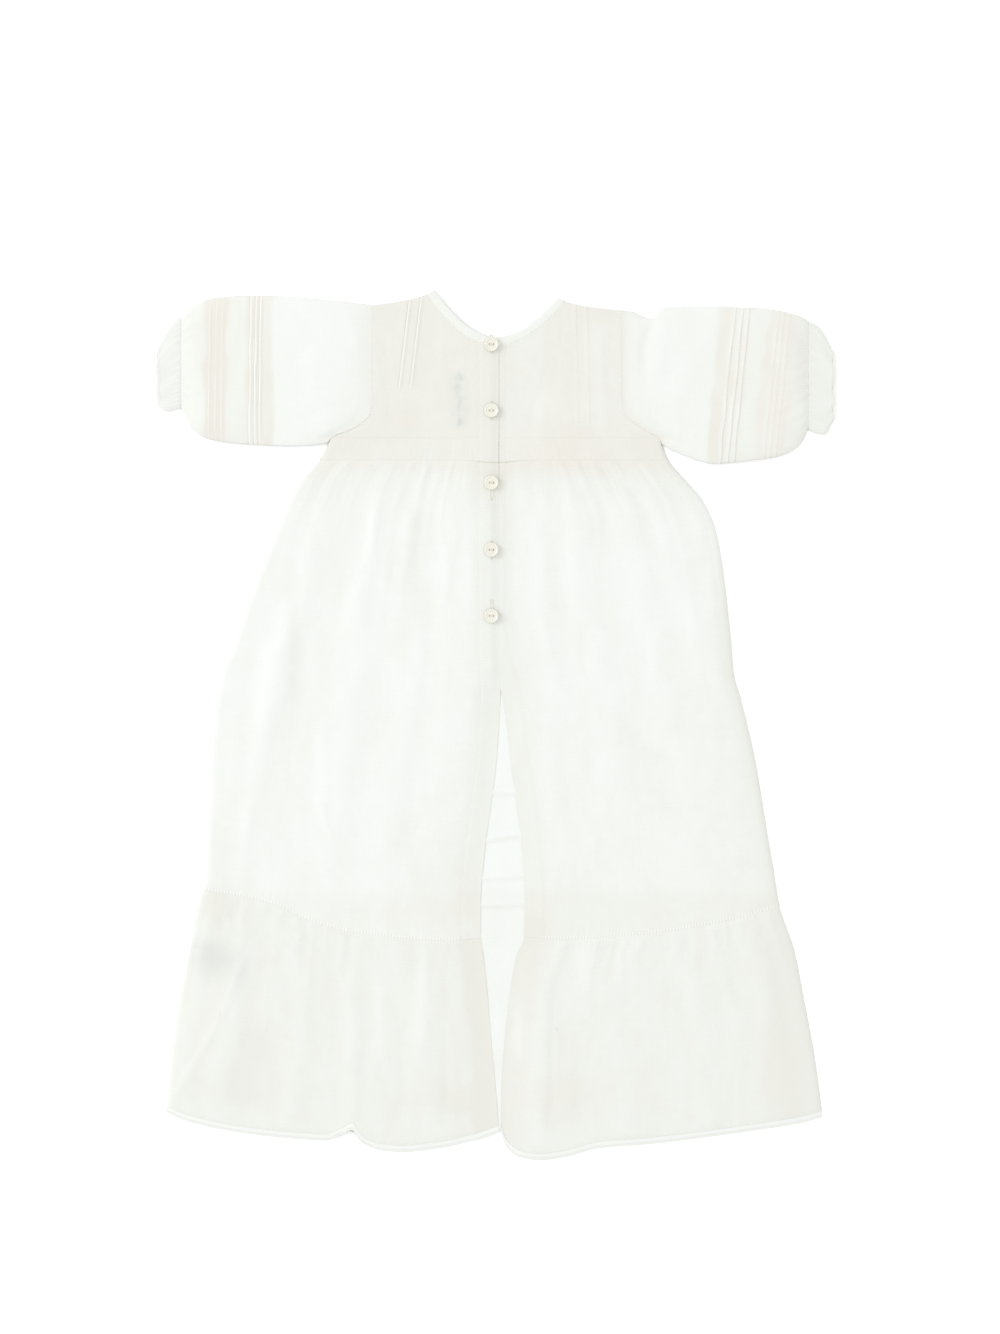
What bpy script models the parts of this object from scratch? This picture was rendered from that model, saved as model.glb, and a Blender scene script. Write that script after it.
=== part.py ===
"""Christening dress in sheer white cotton, laid flat on its front with the back side up.

Sizes are in millimetres on the laid-out garment as seen from above: x runs to the right, y
towards the neck and z up. The origin is under the middle of the garment, on the surface that it
lies on. The front lies on that surface, and the two halves of the back lie on the front.
"""

import math
from collections import namedtuple

import bmesh
import bpy
import numpy as np
from mathutils import Matrix

MM = 0.001

# Walls and clearances
CLOTH = 1.2  # one ply
DOUBLED = 1.4  # a folded band: placket, binding and hem edging
GAP = 0.3  # between plies, and across a seam
BACK_REST = CLOTH + GAP  # the back's underside where it lies on the front
OVERLAP_RISE = DOUBLED + GAP  # how much higher the left edge lies, over the right placket

# Back opening and its bands
PLACKET_WIDTH = 15.4
RISE_WIDTH = 40.0  # cloth over which the left half climbs on to the right placket
RISE_FROM, RISE_TO = 27.0, -32.0  # it comes down between these heights, where the edges part

# Neck: on each side the scoop rises by NECK_POWER of the distance from its middle.
NECK_HALF_WIDTH = 47.6
NECK_MIDDLE = 1.2
NECK_LOW = 298.4
NECK_DEPTH_LEFT = 36.5
NECK_DEPTH_RIGHT = 31.0
NECK_POWER = 1.9
FRONT_NECK_DROP = 7.0
BINDING_WIDTH = 6.0

# Waist and hem
WAIST_TOP = 221.4
WAIST_LOW = 204.4
WAIST_DIP = 2.2  # the seam sags by this much at the opening
WAIST_DIP_WIDTH = 18.0
EDGING_WIDTH = 4.0
FRONT_HEM_RISE = 10.5  # the front is this much shorter than the back
SIDE_TURN = 3.4  # the back's side edge comes down to the surface over this width
TURN_SHARE = 0.02  # the part of a grid that the turned side edge takes
HEM_ROOM = 8.0  # the back's hem comes down where it hangs this far past the front's
HEM_CLEAR = 1.6  # starting this far past the front's
OPENING_REST = 24.0  # and less within this distance of the opening
HEM_PLEAT_X = -110.1  # a soft pleat lifts the back's hem here

# Buttons
BUTTON_DIAMETER = 11.0
BUTTON_HEIGHT = 2.4
BUTTON_DISH = 0.8
BUTTON_RIM = 1.7
BUTTON_HOLE = 1.3
BUTTON_HOLE_SPACING = 2.8
BUTTON_STEPS = 14
BUTTON_X = -2.7
BUTTON_HEIGHTS = {"neck": 293.0, "bodice": 242.2, "waist": 186.7, "skirt": 135.1, "low": 84.3}

# Gathers, folds and frills
GATHER_HEIGHT = 1.7
GATHER_START = 5.0  # a gather reaches its height this far from its seam
FOLD_FADE = 12.0  # folds die out over this width along a free edge
FRILL_WAVES = 7
FRILL_LIFT = 1.1
FRILL_SWING = 1.2

# Tucks
TUCK_HEIGHT = 0.9
TUCK_WIDTH = 3.6
TUCK_COLUMNS = (-0.5, -0.28, 0.28, 0.5)  # shares of its width: foot, crest, crest, foot
TUCK_SPACING = 7.0  # on the sleeves
TUCK_END = 6.0  # length over which a bodice tuck dies out

Side = namedtuple("Side", "y left right")
# The garment's outline below the waist, from the waist seam to the corners of the hem.
SKIRT_SIDES = [
    Side(221.4, -126.0, 126.5),
    Side(203.7, -135.0, 133.8),
    Side(189.0, -147.8, 146.3),
    Side(173.6, -157.1, 159.4),
    Side(154.4, -165.6, 168.6),
    Side(127.4, -176.7, 174.4),
    Side(96.6, -188.7, 178.3),
    Side(65.8, -199.4, 181.7),
    Side(41.2, -209.1, 183.6),
    Side(19.6, -214.1, 189.4),
    Side(-26.6, -218.7, 200.2),
    Side(-72.8, -220.2, 207.9),
    Side(-119.0, -222.5, 215.6),
    Side(-138.2, -227.9, 218.7),
    Side(-172.9, -234.9, 230.2),
    Side(-211.4, -242.6, 237.9),
    Side(-257.6, -249.5, 246.4),
    Side(-304.0, -253.6, 252.4),
]

Edge = namedtuple("Edge", "y left right")
# The edges of the back opening: they overlap down to y 40 and part below it.
OPENING = [
    Edge(300.0, 3.1, -6.9),
    Edge(84.3, 3.1, -6.9),
    Edge(62.0, 3.0, -4.0),
    Edge(30.4, 2.3, 5.4),
    Edge(-18.9, -0.4, 13.1),
    Edge(-57.4, -4.6, 16.9),
    Edge(-95.9, -8.5, 20.0),
    Edge(-134.4, -10.8, 22.3),
    Edge(-163.6, -10.8, 22.3),
    Edge(-176.7, -9.2, 16.9),
    Edge(-211.4, -5.4, 10.8),
    Edge(-249.9, -2.3, 6.9),
    Edge(-280.7, 0.6, 4.9),
    Edge(-313.0, 3.0, 4.6),
]

Seam = namedtuple("Seam", "x y")
# The seam between skirt and flounce, across the whole back.
FLOUNCE_SEAM = [
    Seam(-226.0, -126.0),
    Seam(-192.5, -132.1),
    Seam(-169.4, -137.7),
    Seam(-146.3, -148.2),
    Seam(-111.7, -158.6),
    Seam(-73.2, -163.4),
    Seam(-34.7, -165.6),
    Seam(-10.8, -163.8),
    Seam(22.3, -162.6),
    Seam(50.0, -164.4),
    Seam(96.3, -162.1),
    Seam(142.5, -156.7),
    Seam(188.7, -147.5),
    Seam(221.8, -138.0),
]
# The hem of each half of the back.
HEM_LEFT = [
    Seam(-253.6, -297.6),
    Seam(-234.9, -305.3),
    Seam(-188.7, -314.5),
    Seam(-150.2, -318.4),
    Seam(-130.9, -319.6),
    Seam(-116.3, -314.0),
    Seam(-110.1, -310.9),
    Seam(-102.4, -320.7),
    Seam(-88.6, -326.9),
    Seam(-73.2, -328.4),
    Seam(-42.4, -325.3),
    Seam(-15.4, -319.2),
    Seam(3.0, -313.4),
]
HEM_RIGHT = [
    Seam(4.6, -313.0),
    Seam(8.5, -323.8),
    Seam(19.3, -332.3),
    Seam(34.7, -334.6),
    Seam(50.0, -333.0),
    Seam(80.9, -325.3),
    Seam(119.4, -322.2),
    Seam(157.9, -317.6),
    Seam(196.4, -312.2),
    Seam(234.9, -306.1),
    Seam(252.4, -301.5),
]
# The shoulder seams, from the armhole to the neck.
SHOULDER_LEFT = [
    Seam(-96.0, 322.8),
    Seam(-69.3, 326.9),
    Seam(-57.8, 329.6),
    Seam(-46.4, 334.6),
]
SHOULDER_RIGHT = [
    Seam(48.8, 329.4),
    Seam(57.8, 325.0),
    Seam(73.2, 321.9),
    Seam(97.5, 319.2),
]

Armhole = namedtuple("Armhole", "y x")
# The seams between sleeve and bodice, from the shoulder to the underarm.
ARMHOLE_LEFT = [
    Armhole(326.0, -94.5),
    Armhole(250.6, -94.5),
    Armhole(241.4, -96.2),
    Armhole(233.7, -102.4),
    Armhole(227.5, -112.4),
    Armhole(221.9, -126.0),
]
ARMHOLE_RIGHT = [
    Armhole(326.0, 97.4),
    Armhole(250.6, 97.4),
    Armhole(241.4, 99.6),
    Armhole(233.7, 106.4),
    Armhole(227.5, 115.5),
    Armhole(221.9, 126.5),
]

Section = namedtuple("Section", "x top bottom height")
# Sections of each sleeve, from the gathered wrist to the armhole.
SLEEVE_LEFT = [
    Section(-241.4, 314.2, 243.9, 3.4),
    Section(-236.4, 320.5, 233.0, 4.8),
    Section(-231.0, 323.8, 226.0, 5.8),
    Section(-221.8, 327.2, 220.8, 6.2),
    Section(-207.9, 329.6, 217.9, 6.2),
    Section(-188.7, 330.7, 216.2, 6.0),
    Section(-157.9, 329.9, 214.8, 5.2),
    Section(-132.5, 327.6, 216.4, 4.6),
    Section(-126.6, 327.0, 222.8, 4.4),
    Section(-112.8, 325.6, 228.4, 4.2),
    Section(-102.8, 324.4, 234.6, 4.0),
    Section(-96.6, 323.5, 242.2, 3.8),
    Section(-95.0, 323.1, 252.0, 3.6),
]
SLEEVE_RIGHT = [
    Section(240.9, 311.0, 228.2, 3.4),
    Section(235.6, 314.6, 217.0, 4.8),
    Section(228.7, 316.5, 211.2, 5.8),
    Section(219.5, 318.8, 207.2, 6.2),
    Section(204.1, 320.8, 204.6, 6.2),
    Section(184.8, 321.6, 202.3, 6.0),
    Section(169.4, 322.0, 201.2, 5.6),
    Section(157.9, 322.0, 203.2, 5.4),
    Section(142.5, 322.0, 209.0, 5.2),
    Section(132.2, 321.6, 214.0, 4.8),
    Section(127.0, 320.0, 222.8, 4.6),
    Section(121.6, 313.0, 225.6, 4.4),
    Section(115.9, 313.6, 228.5, 4.2),
    Section(106.8, 318.0, 234.7, 4.0),
    Section(100.2, 318.9, 242.4, 3.8),
    Section(98.4, 318.9, 252.0, 3.6),
]

Frill = namedtuple("Frill", "out top bottom")
# The frill past the wrist seam: how far out, and its upper and lower edge there.
FRILL_LEFT = [
    Frill(0.0, 314.0, 244.6),
    Frill(5.0, 311.5, 243.0),
    Frill(12.0, 303.0, 241.5),
    Frill(18.5, 289.0, 246.0),
]
FRILL_RIGHT = [
    Frill(0.0, 310.8, 228.6),
    Frill(6.0, 308.5, 224.6),
    Frill(13.0, 300.0, 224.0),
    Frill(19.0, 288.5, 233.0),
]

Fold = namedtuple("Fold", "top_x top_y low_x low_y height width")
# Large soft folds that fan out from the waist, and the pleats that stand at the hem.
FOLDS_LEFT = [
    Fold(-118.0, 192.0, -186.0, -20.0, 1.6, 11.0),
    Fold(-88.0, 196.0, -128.0, -110.0, 1.9, 12.0),
    Fold(-60.0, 196.0, -82.0, -120.0, 1.6, 11.0),
    Fold(-34.0, 190.0, -44.0, -90.0, 1.2, 9.0),
    Fold(-158.0, 90.0, -196.0, -104.0, 1.7, 10.0),
    Fold(-112.0, -186.0, -107.0, -322.0, 2.2, 9.0),
    Fold(-150.0, -176.0, -160.0, -310.0, 1.3, 10.0),
    Fold(-52.0, -182.0, -50.0, -322.0, 1.5, 11.0),
    Fold(-196.0, -178.0, -214.0, -300.0, 1.4, 10.0),
]
FOLDS_RIGHT = [
    Fold(32.0, 192.0, 46.0, -60.0, 1.3, 9.0),
    Fold(58.0, 196.0, 100.0, -100.0, 1.8, 12.0),
    Fold(92.0, 194.0, 152.0, -70.0, 1.6, 12.0),
    Fold(116.0, 186.0, 172.0, 20.0, 1.4, 9.0),
    Fold(36.0, -186.0, 32.0, -328.0, 1.6, 11.0),
    Fold(92.0, -184.0, 96.0, -318.0, 1.3, 11.0),
    Fold(150.0, -180.0, 166.0, -312.0, 1.5, 12.0),
    Fold(206.0, -166.0, 226.0, -300.0, 1.2, 9.0),
]

Tuck = namedtuple("Tuck", "x lean end")
# Tucks of the back bodice, run down from the shoulder seam.
BODICE_TUCKS_LEFT = [Tuck(-55.4, -0.09, 256.8), Tuck(-64.4, -0.09, 256.8)]
BODICE_TUCKS_RIGHT = [Tuck(60.6, 0.02, 228.0), Tuck(69.2, 0.02, 228.0)]
# Tucks of the sleeves: the place of each group's first one, and how many go from it inwards.
Group = namedtuple("Group", "first count")
SLEEVE_TUCKS_LEFT = [Group(-223.3, 3), Group(-191.0, 3)]
SLEEVE_TUCKS_RIGHT = [Group(222.1, 3), Group(190.2, 3)]

Gathers = namedtuple("Gathers", "count seed reach")
SKIRT_GATHERS_LEFT, SKIRT_GATHERS_RIGHT = Gathers(10, 3, 46.0), Gathers(10, 5, 46.0)
FLOUNCE_GATHERS_LEFT, FLOUNCE_GATHERS_RIGHT = Gathers(11, 11, 62.0), Gathers(11, 12, 62.0)

# Places along the neck's edge at which its binding and the bodice have a column.
NECK_STATIONS_LEFT = [-10.25, -19.0, -27.0, -33.5, -39.0, -43.0, -46.2]
NECK_STATIONS_RIGHT = [7.55, 16.0, 24.0, 31.0, 37.5, 43.0, 48.6]
NECK_STATIONS_FRONT = [-46.2, -42.0, -36.0, -28.0, -18.0, -8.0, 1.2, 10.0, 20.0, 30.0, 38.0]
NECK_STATIONS_FRONT += [44.0, 48.6]
BINDING_MIDDLE = -2.0  # and one more for both back bindings, over the overlap

# Rows of the grids, as shares of the way down
BODICE_ROWS = [0.0, 0.1, 0.35, 0.58, 0.66, 0.72, 0.8, 0.88, 0.94, 1.0]
BODICE_FRONT_ROWS = [0.0, 0.4, 0.72, 0.8, 0.88, 0.94, 1.0]
SKIRT_ROWS = [0.0, 0.022, 0.07, 0.15, 0.27, 0.42, 0.6, 0.8, 1.0]
FLOUNCE_TURN = 0.9  # the flounce's hem turns down from here
FLOUNCE_ROWS = [0.0, 0.04, 0.2, 0.45, 0.72, FLOUNCE_TURN, 1.0]
FLOUNCE_FRONT_ROWS = [0.0, 0.3, 0.65, 1.0]
FRONT_COLUMNS = 18
SHOULDER_X = 79.0  # the bodice's columns up to here run straight down


def eased(share):
    """Goes from 0 to 1 with a level start and end."""
    share = np.clip(share, 0.0, 1.0)
    return share * share * (3.0 - 2.0 * share)


def smooth(at, known, values):
    """A curve through the known points that never swings past them (Fritsch and Carlson)."""
    x, y = np.asarray(known, float), np.asarray(values, float)
    if x[0] > x[-1]:
        x, y = x[::-1], y[::-1]
    step = np.diff(x)
    slope = np.diff(y) / step
    tangent = np.zeros(len(x))
    tangent[0], tangent[-1] = slope[0], slope[-1]
    before, after = slope[:-1], slope[1:]
    same_way = before * after > 0
    weight_a, weight_b = 2 * step[1:] + step[:-1], step[1:] + 2 * step[:-1]
    inner = (weight_a + weight_b)[same_way] / (
        weight_a[same_way] / before[same_way] + weight_b[same_way] / after[same_way]
    )
    tangent[1:-1][same_way] = inner
    at = np.clip(at, x[0], x[-1])
    k = np.clip(np.searchsorted(x, at, side="right") - 1, 0, len(step) - 1)
    t, h = (at - x[k]) / step[k], step[k]
    return (
        (2 * t**3 - 3 * t**2 + 1) * y[k]
        + (t**3 - 2 * t**2 + t) * h * tangent[k]
        + (3 * t**2 - 2 * t**3) * y[k + 1]
        + (t**3 - t**2) * h * tangent[k + 1]
    )


def curve(rows, along, key):
    """A smooth function through a table: its column key against its column along."""
    known = [getattr(row, along) for row in rows]
    values = [getattr(row, key) for row in rows]
    return lambda at: smooth(at, known, values)


Half = namedtuple(
    "Half",
    "sign word side opening hem neck_stations shoulder armhole folds bodice_tucks "
    "skirt_gathers flounce_gathers sleeve sleeve_tucks frill",
)
# The left half of the back lies on top at the opening, and the right half underneath.
LEFT = Half(
    sign=-1,
    word="left",
    side=curve(SKIRT_SIDES, "y", "left"),
    opening=curve(OPENING, "y", "left"),
    hem=curve(HEM_LEFT, "x", "y"),
    neck_stations=NECK_STATIONS_LEFT,
    shoulder=curve(SHOULDER_LEFT, "x", "y"),
    armhole=ARMHOLE_LEFT,
    folds=FOLDS_LEFT,
    bodice_tucks=BODICE_TUCKS_LEFT,
    skirt_gathers=SKIRT_GATHERS_LEFT,
    flounce_gathers=FLOUNCE_GATHERS_LEFT,
    sleeve=SLEEVE_LEFT,
    sleeve_tucks=SLEEVE_TUCKS_LEFT,
    frill=FRILL_LEFT,
)
RIGHT = Half(
    sign=1,
    word="right",
    side=curve(SKIRT_SIDES, "y", "right"),
    opening=curve(OPENING, "y", "right"),
    hem=curve(HEM_RIGHT, "x", "y"),
    neck_stations=NECK_STATIONS_RIGHT,
    shoulder=curve(SHOULDER_RIGHT, "x", "y"),
    armhole=ARMHOLE_RIGHT,
    folds=FOLDS_RIGHT,
    bodice_tucks=BODICE_TUCKS_RIGHT,
    skirt_gathers=SKIRT_GATHERS_RIGHT,
    flounce_gathers=FLOUNCE_GATHERS_RIGHT,
    sleeve=SLEEVE_RIGHT,
    sleeve_tucks=SLEEVE_TUCKS_RIGHT,
    frill=FRILL_RIGHT,
)

flounce_seam = curve(FLOUNCE_SEAM, "x", "y")
# The front's hem is a plain line under the back's, without its pleat and its notch.
hem_front_line = curve(
    [row for row in HEM_LEFT + HEM_RIGHT if abs(row.x - HEM_PLEAT_X) > 10 and abs(row.x) > 6],
    "x", "y",
)


def hem_front(x):
    return hem_front_line(x) + FRONT_HEM_RISE


def waist_top(x):
    return np.full(np.shape(x), WAIST_TOP)


def waist_low(x):
    """The seam between waistband and skirt, which sags a little at the opening."""
    return WAIST_LOW - WAIST_DIP * np.exp(-((x / WAIST_DIP_WIDTH) ** 2))


def waist_low_front(x):
    return np.full(np.shape(x), WAIST_LOW)


def moved(seam, by):
    return lambda x: seam(x) + by


def beside_placket(half):
    """x of y along the seam between a placket and the panel beside it."""
    return lambda y: half.opening(y) + half.sign * (PLACKET_WIDTH + GAP)


def armhole(half, y):
    rows = half.armhole
    return np.interp(-y, [-row.y for row in rows], [row.x for row in rows])


def neck_points(x, offset, drop=0.0):
    """Where the neck's edge runs when it is moved into the cloth by offset: the points over the
    places x of the edge itself. The front's scoop is deeper by drop and has the same tips."""
    x = np.asarray(x, float)
    side = np.where(x < NECK_MIDDLE, -1.0, 1.0)
    depth = np.where(x < NECK_MIDDLE, NECK_DEPTH_LEFT, NECK_DEPTH_RIGHT) + drop
    share = np.abs(x - NECK_MIDDLE) / NECK_HALF_WIDTH
    rise = depth * NECK_POWER * share ** (NECK_POWER - 1) / NECK_HALF_WIDTH
    length = np.sqrt(1 + rise**2)
    y = NECK_LOW - drop + depth * share**NECK_POWER
    return x + side * offset * rise / length, y - offset / length


def neck_seam(x):
    """The height at x of the seam under the neck's binding."""
    edge = np.linspace(-NECK_HALF_WIDTH, NECK_HALF_WIDTH, 240)
    known_x, known_y = neck_points(edge, BINDING_WIDTH + GAP)
    return np.interp(x, known_x, known_y)


def left_rise(x, y):
    """How far the left half is lifted near the opening, where it lies on the right placket."""
    near = eased((x - beside_placket(LEFT)(y)) / RISE_WIDTH + 1.0)
    return OVERLAP_RISE * near * eased((y - RISE_TO) / (RISE_FROM - RISE_TO))


def on_front(half, x, y):
    """The underside of a piece of the back that lies on the front all over."""
    return BACK_REST + (left_rise(x, y) if half is LEFT else np.zeros(np.shape(x)))


def hem_turn(half, x):
    """The height at which the back comes off the front's hem edging and turns down."""
    return np.maximum(hem_front(x) - HEM_CLEAR, half.hem(x) + EDGING_WIDTH + 2 * GAP)


def resting(half, x, y):
    """The back's underside: it lies on the front, and past the front's edges it comes down to
    the surface."""
    hem, turn = half.hem(x), hem_turn(half, x)
    at_side = 1.0 - np.clip(np.abs(x - half.side(y)) / SIDE_TURN, 0.0, 1.0)
    at_hem = np.clip((turn - y) / (turn - hem), 0.0, 1.0)
    room = np.clip((hem_front(x) - HEM_CLEAR - hem) / HEM_ROOM, 0.0, 1.0)
    room *= np.clip(np.abs(x) / OPENING_REST, 0.0, 1.0)
    return on_front(half, x, y) - BACK_REST * np.maximum(at_side, at_hem * room)


def ridge(x, y, fold):
    """The height at (x, y) of one fold: round across, fading at both ends."""
    along_x, along_y = fold.low_x - fold.top_x, fold.low_y - fold.top_y
    length = math.hypot(along_x, along_y)
    share = ((x - fold.top_x) * along_x + (y - fold.top_y) * along_y) / length**2
    aside = ((x - fold.top_x) * along_y - (y - fold.top_y) * along_x) / length
    ends = eased(4.0 * share + 0.35) * eased(3.8 - 3.3 * share)
    return fold.height * np.exp(-((aside / fold.width) ** 2)) * ends


def gather_bounds(gathers):
    """The shares of the width at which uneven gathers begin and end."""
    widths = np.random.default_rng(gathers.seed).uniform(0.6, 1.4, gathers.count)
    return np.append(0.0, np.cumsum(widths) / widths.sum())


def gather_columns(gathers):
    """The turned side edge, and then four columns for each gather: valley, flank, top, flank."""
    bounds = gather_bounds(gathers)
    shares = [a + (b - a) * k / 4 for a, b in zip(bounds, bounds[1:]) for k in range(4)]
    return np.append(0.0, TURN_SHARE + (1.0 - TURN_SHARE) * np.array(shares + [1.0]))


def gathered(u, depth, gathers):
    """Heights of gathers that rise just below a seam and fade away, each over its own length."""
    share = np.clip((u - TURN_SHARE) / (1.0 - TURN_SHARE), 0.0, 1.0)
    bounds = gather_bounds(gathers)
    k = np.clip(np.searchsorted(bounds, share, side="right") - 1, 0, gathers.count - 1)
    wave = 0.5 - 0.5 * np.cos(2 * math.pi * (share - bounds[k]) / (bounds[k + 1] - bounds[k]))
    random = np.random.default_rng(gathers.seed + 100)
    own_height = random.uniform(0.5, 1.0, gathers.count)[k]
    own_reach = gathers.reach * random.uniform(0.6, 1.4, gathers.count)[k]
    fade = eased(depth / GATHER_START) * np.exp(-((depth / own_reach) ** 2))
    return GATHER_HEIGHT * wave * own_height * fade


def folded(half, x, y, gathers_at):
    """The back's underside with its gathers and folds, which die out at the side and the hem."""
    raised = gathers_at + sum(ridge(x, y, fold) for fold in half.folds)
    from_side = eased((np.abs(x - half.side(y)) - SIDE_TURN) / FOLD_FADE)
    from_hem = eased((y - hem_turn(half, x)) / FOLD_FADE)
    return resting(half, x, y) + raised * from_side * from_hem


def finished(name, bm, material):
    bmesh.ops.recalc_face_normals(bm, faces=bm.faces[:])
    mesh = bpy.data.meshes.new(name)
    bm.to_mesh(mesh)
    bm.free()
    mesh.shade_smooth()
    mesh.set_sharp_from_angle(angle=math.radians(40))
    mesh.materials.append(material)
    made = bpy.data.objects.new(name, mesh)
    PARTS.objects.link(made)
    return made


def cloth_panel(name, across, down, place, lower, upper, material):
    """One ply: a grid extruded into a wall. place(u, v) gives x and y in millimetres, u running
    across and v down, and lower and upper give the heights of the wall's two faces."""
    bm = bmesh.new()
    columns, rows = len(across) - 1, len(down) - 1
    bmesh.ops.create_grid(bm, x_segments=columns, y_segments=rows, size=1.0)
    made = bmesh.ops.extrude_face_region(bm, geom=bm.faces[:])
    raised = {item for item in made["geom"] if isinstance(item, bmesh.types.BMVert)}
    points = list(bm.verts)
    u = np.array([across[round((point.co.x + 1) / 2 * columns)] for point in points])
    v = np.array([down[round((1 - point.co.y) / 2 * rows)] for point in points])
    x, y = place(u, v)
    z = np.where([point in raised for point in points], upper(x, y, u, v), lower(x, y, u, v))
    for point, px, py, pz in zip(points, x, y, z):
        point.co = (px * MM, py * MM, pz * MM)
    return finished(name, bm, material)


def cloth_tube(name, around, outer_stations, inner_stations, outer, inner, material):
    """A ply sewn into a tube. outer(a, s) and inner(a, s) give x, y and z of its two faces at
    the share a of the way round and at station s. The grid runs out along the outer face, back
    along the inner one and closes on itself both ways."""
    bm = bmesh.new()
    count = len(outer_stations)
    stations = np.append(outer_stations, inner_stations[::-1])
    rows = len(stations)
    bmesh.ops.create_grid(bm, x_segments=around, y_segments=rows, size=1.0)
    points = list(bm.verts)
    a = np.array([round((p.co.x + 1) / 2 * around) % around / around for p in points])
    row = np.array([round((1 - p.co.y) / 2 * rows) % rows for p in points])
    s = stations[row]
    places = np.where(row < count, outer(a, s), inner(a, s))
    for point, place in zip(points, places.T):
        point.co = [value * MM for value in place]
    bmesh.ops.remove_doubles(bm, verts=bm.verts[:], dist=0.001 * MM)
    return finished(name, bm, material)


def level(height):
    """A face at one height all over."""
    return lambda x, y, u, v: np.full(np.shape(x), float(height))


def raised_by(lower, thickness):
    """The upper face of a wall of this thickness."""
    return lambda x, y, u, v: lower(x, y, u, v) + thickness


Line = namedtuple("Line", "v seam")


def on_seam(x_at, seam, u):
    """The height at which the panel's line u meets a seam given as y of x."""
    y = np.zeros(np.shape(u))
    for _ in range(12):
        y = seam(x_at(u, y))
    return y


def between(x_at, lines):
    """Places a panel's points. x_at(u, y) gives x, and each line is the share v of the way down
    at which the panel follows a seam, y of x."""

    def place(u, v):
        heights = [on_seam(x_at, line.seam, u) for line in lines]
        y = heights[0]
        for k in range(1, len(lines)):
            before, after = lines[k - 1].v, lines[k].v
            part = (v - before) / (after - before)
            y = np.where(v >= before, heights[k - 1] + part * (heights[k] - heights[k - 1]), y)
        return x_at(u, y), y

    return place


def half_width(half, inner_edge):
    """x of (u, y) in half of the back. u runs in from the side edge, and its first part, up to
    TURN_SHARE, is the turned edge."""

    def x_at(u, y):
        edge = half.side(y)
        turn = edge - half.sign * SIDE_TURN
        share = (u - TURN_SHARE) / (1.0 - TURN_SHARE)
        inward = turn + share * (inner_edge(y) - turn)
        return np.where(u < TURN_SHARE, edge + (turn - edge) * u / TURN_SHARE, inward)

    return x_at


def front_width(u, y):
    """x of (u, y) across the front, which ends inside the back's turned edges."""
    left = LEFT.side(y) + SIDE_TURN + GAP
    right = RIGHT.side(y) - SIDE_TURN - GAP
    return left + u * (right - left)


def front_panel(name, top_seam, bottom_seam, down, material):
    """A flat panel of the front below the waist."""
    return cloth_panel(
        name, np.linspace(0.0, 1.0, FRONT_COLUMNS + 1), down,
        between(front_width, [Line(0.0, top_seam), Line(1.0, bottom_seam)]), level(0.0),
        level(CLOTH), material,
    )


def tuck_wave(distance):
    """A flat-topped ridge, from the distance to its middle: 0 at its foot and 1 on its crest."""
    foot, crest = TUCK_COLUMNS[3] * TUCK_WIDTH, TUCK_COLUMNS[2] * TUCK_WIDTH
    return np.clip((foot - np.abs(distance)) / (foot - crest), 0.0, 1.0)


def bodice_front(material):
    """The whole front bodice, its neck a little lower than the back's."""
    neck_x, neck_y = neck_points(NECK_STATIONS_FRONT, BINDING_WIDTH + GAP, FRONT_NECK_DROP)
    left_end, right_end = ARMHOLE_LEFT[0].x + GAP, ARMHOLE_RIGHT[0].x - GAP
    top_x = np.array([left_end, -SHOULDER_X, *neck_x, SHOULDER_X, right_end])
    left_y, right_y = LEFT.shoulder(top_x[:2]), RIGHT.shoulder(top_x[-2:])
    top_y = np.concatenate([left_y, neck_y, right_y])
    across = (top_x - left_end) / (right_end - left_end)

    def place(u, v):
        top = np.interp(u, across, top_y)
        y = top + v * (WAIST_TOP + GAP / 2 - top)
        x = left_end + u * (right_end - left_end)
        spread_left = (armhole(LEFT, y) + GAP + SHOULDER_X) / (left_end + SHOULDER_X)
        spread_right = (armhole(RIGHT, y) - GAP - SHOULDER_X) / (right_end - SHOULDER_X)
        x = np.where(x < -SHOULDER_X, -SHOULDER_X + (x + SHOULDER_X) * spread_left, x)
        return np.where(x > SHOULDER_X, SHOULDER_X + (x - SHOULDER_X) * spread_right, x), y

    return cloth_panel(
        "bodice_front", across, BODICE_FRONT_ROWS, place, level(0.0), level(CLOTH), material
    )


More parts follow.
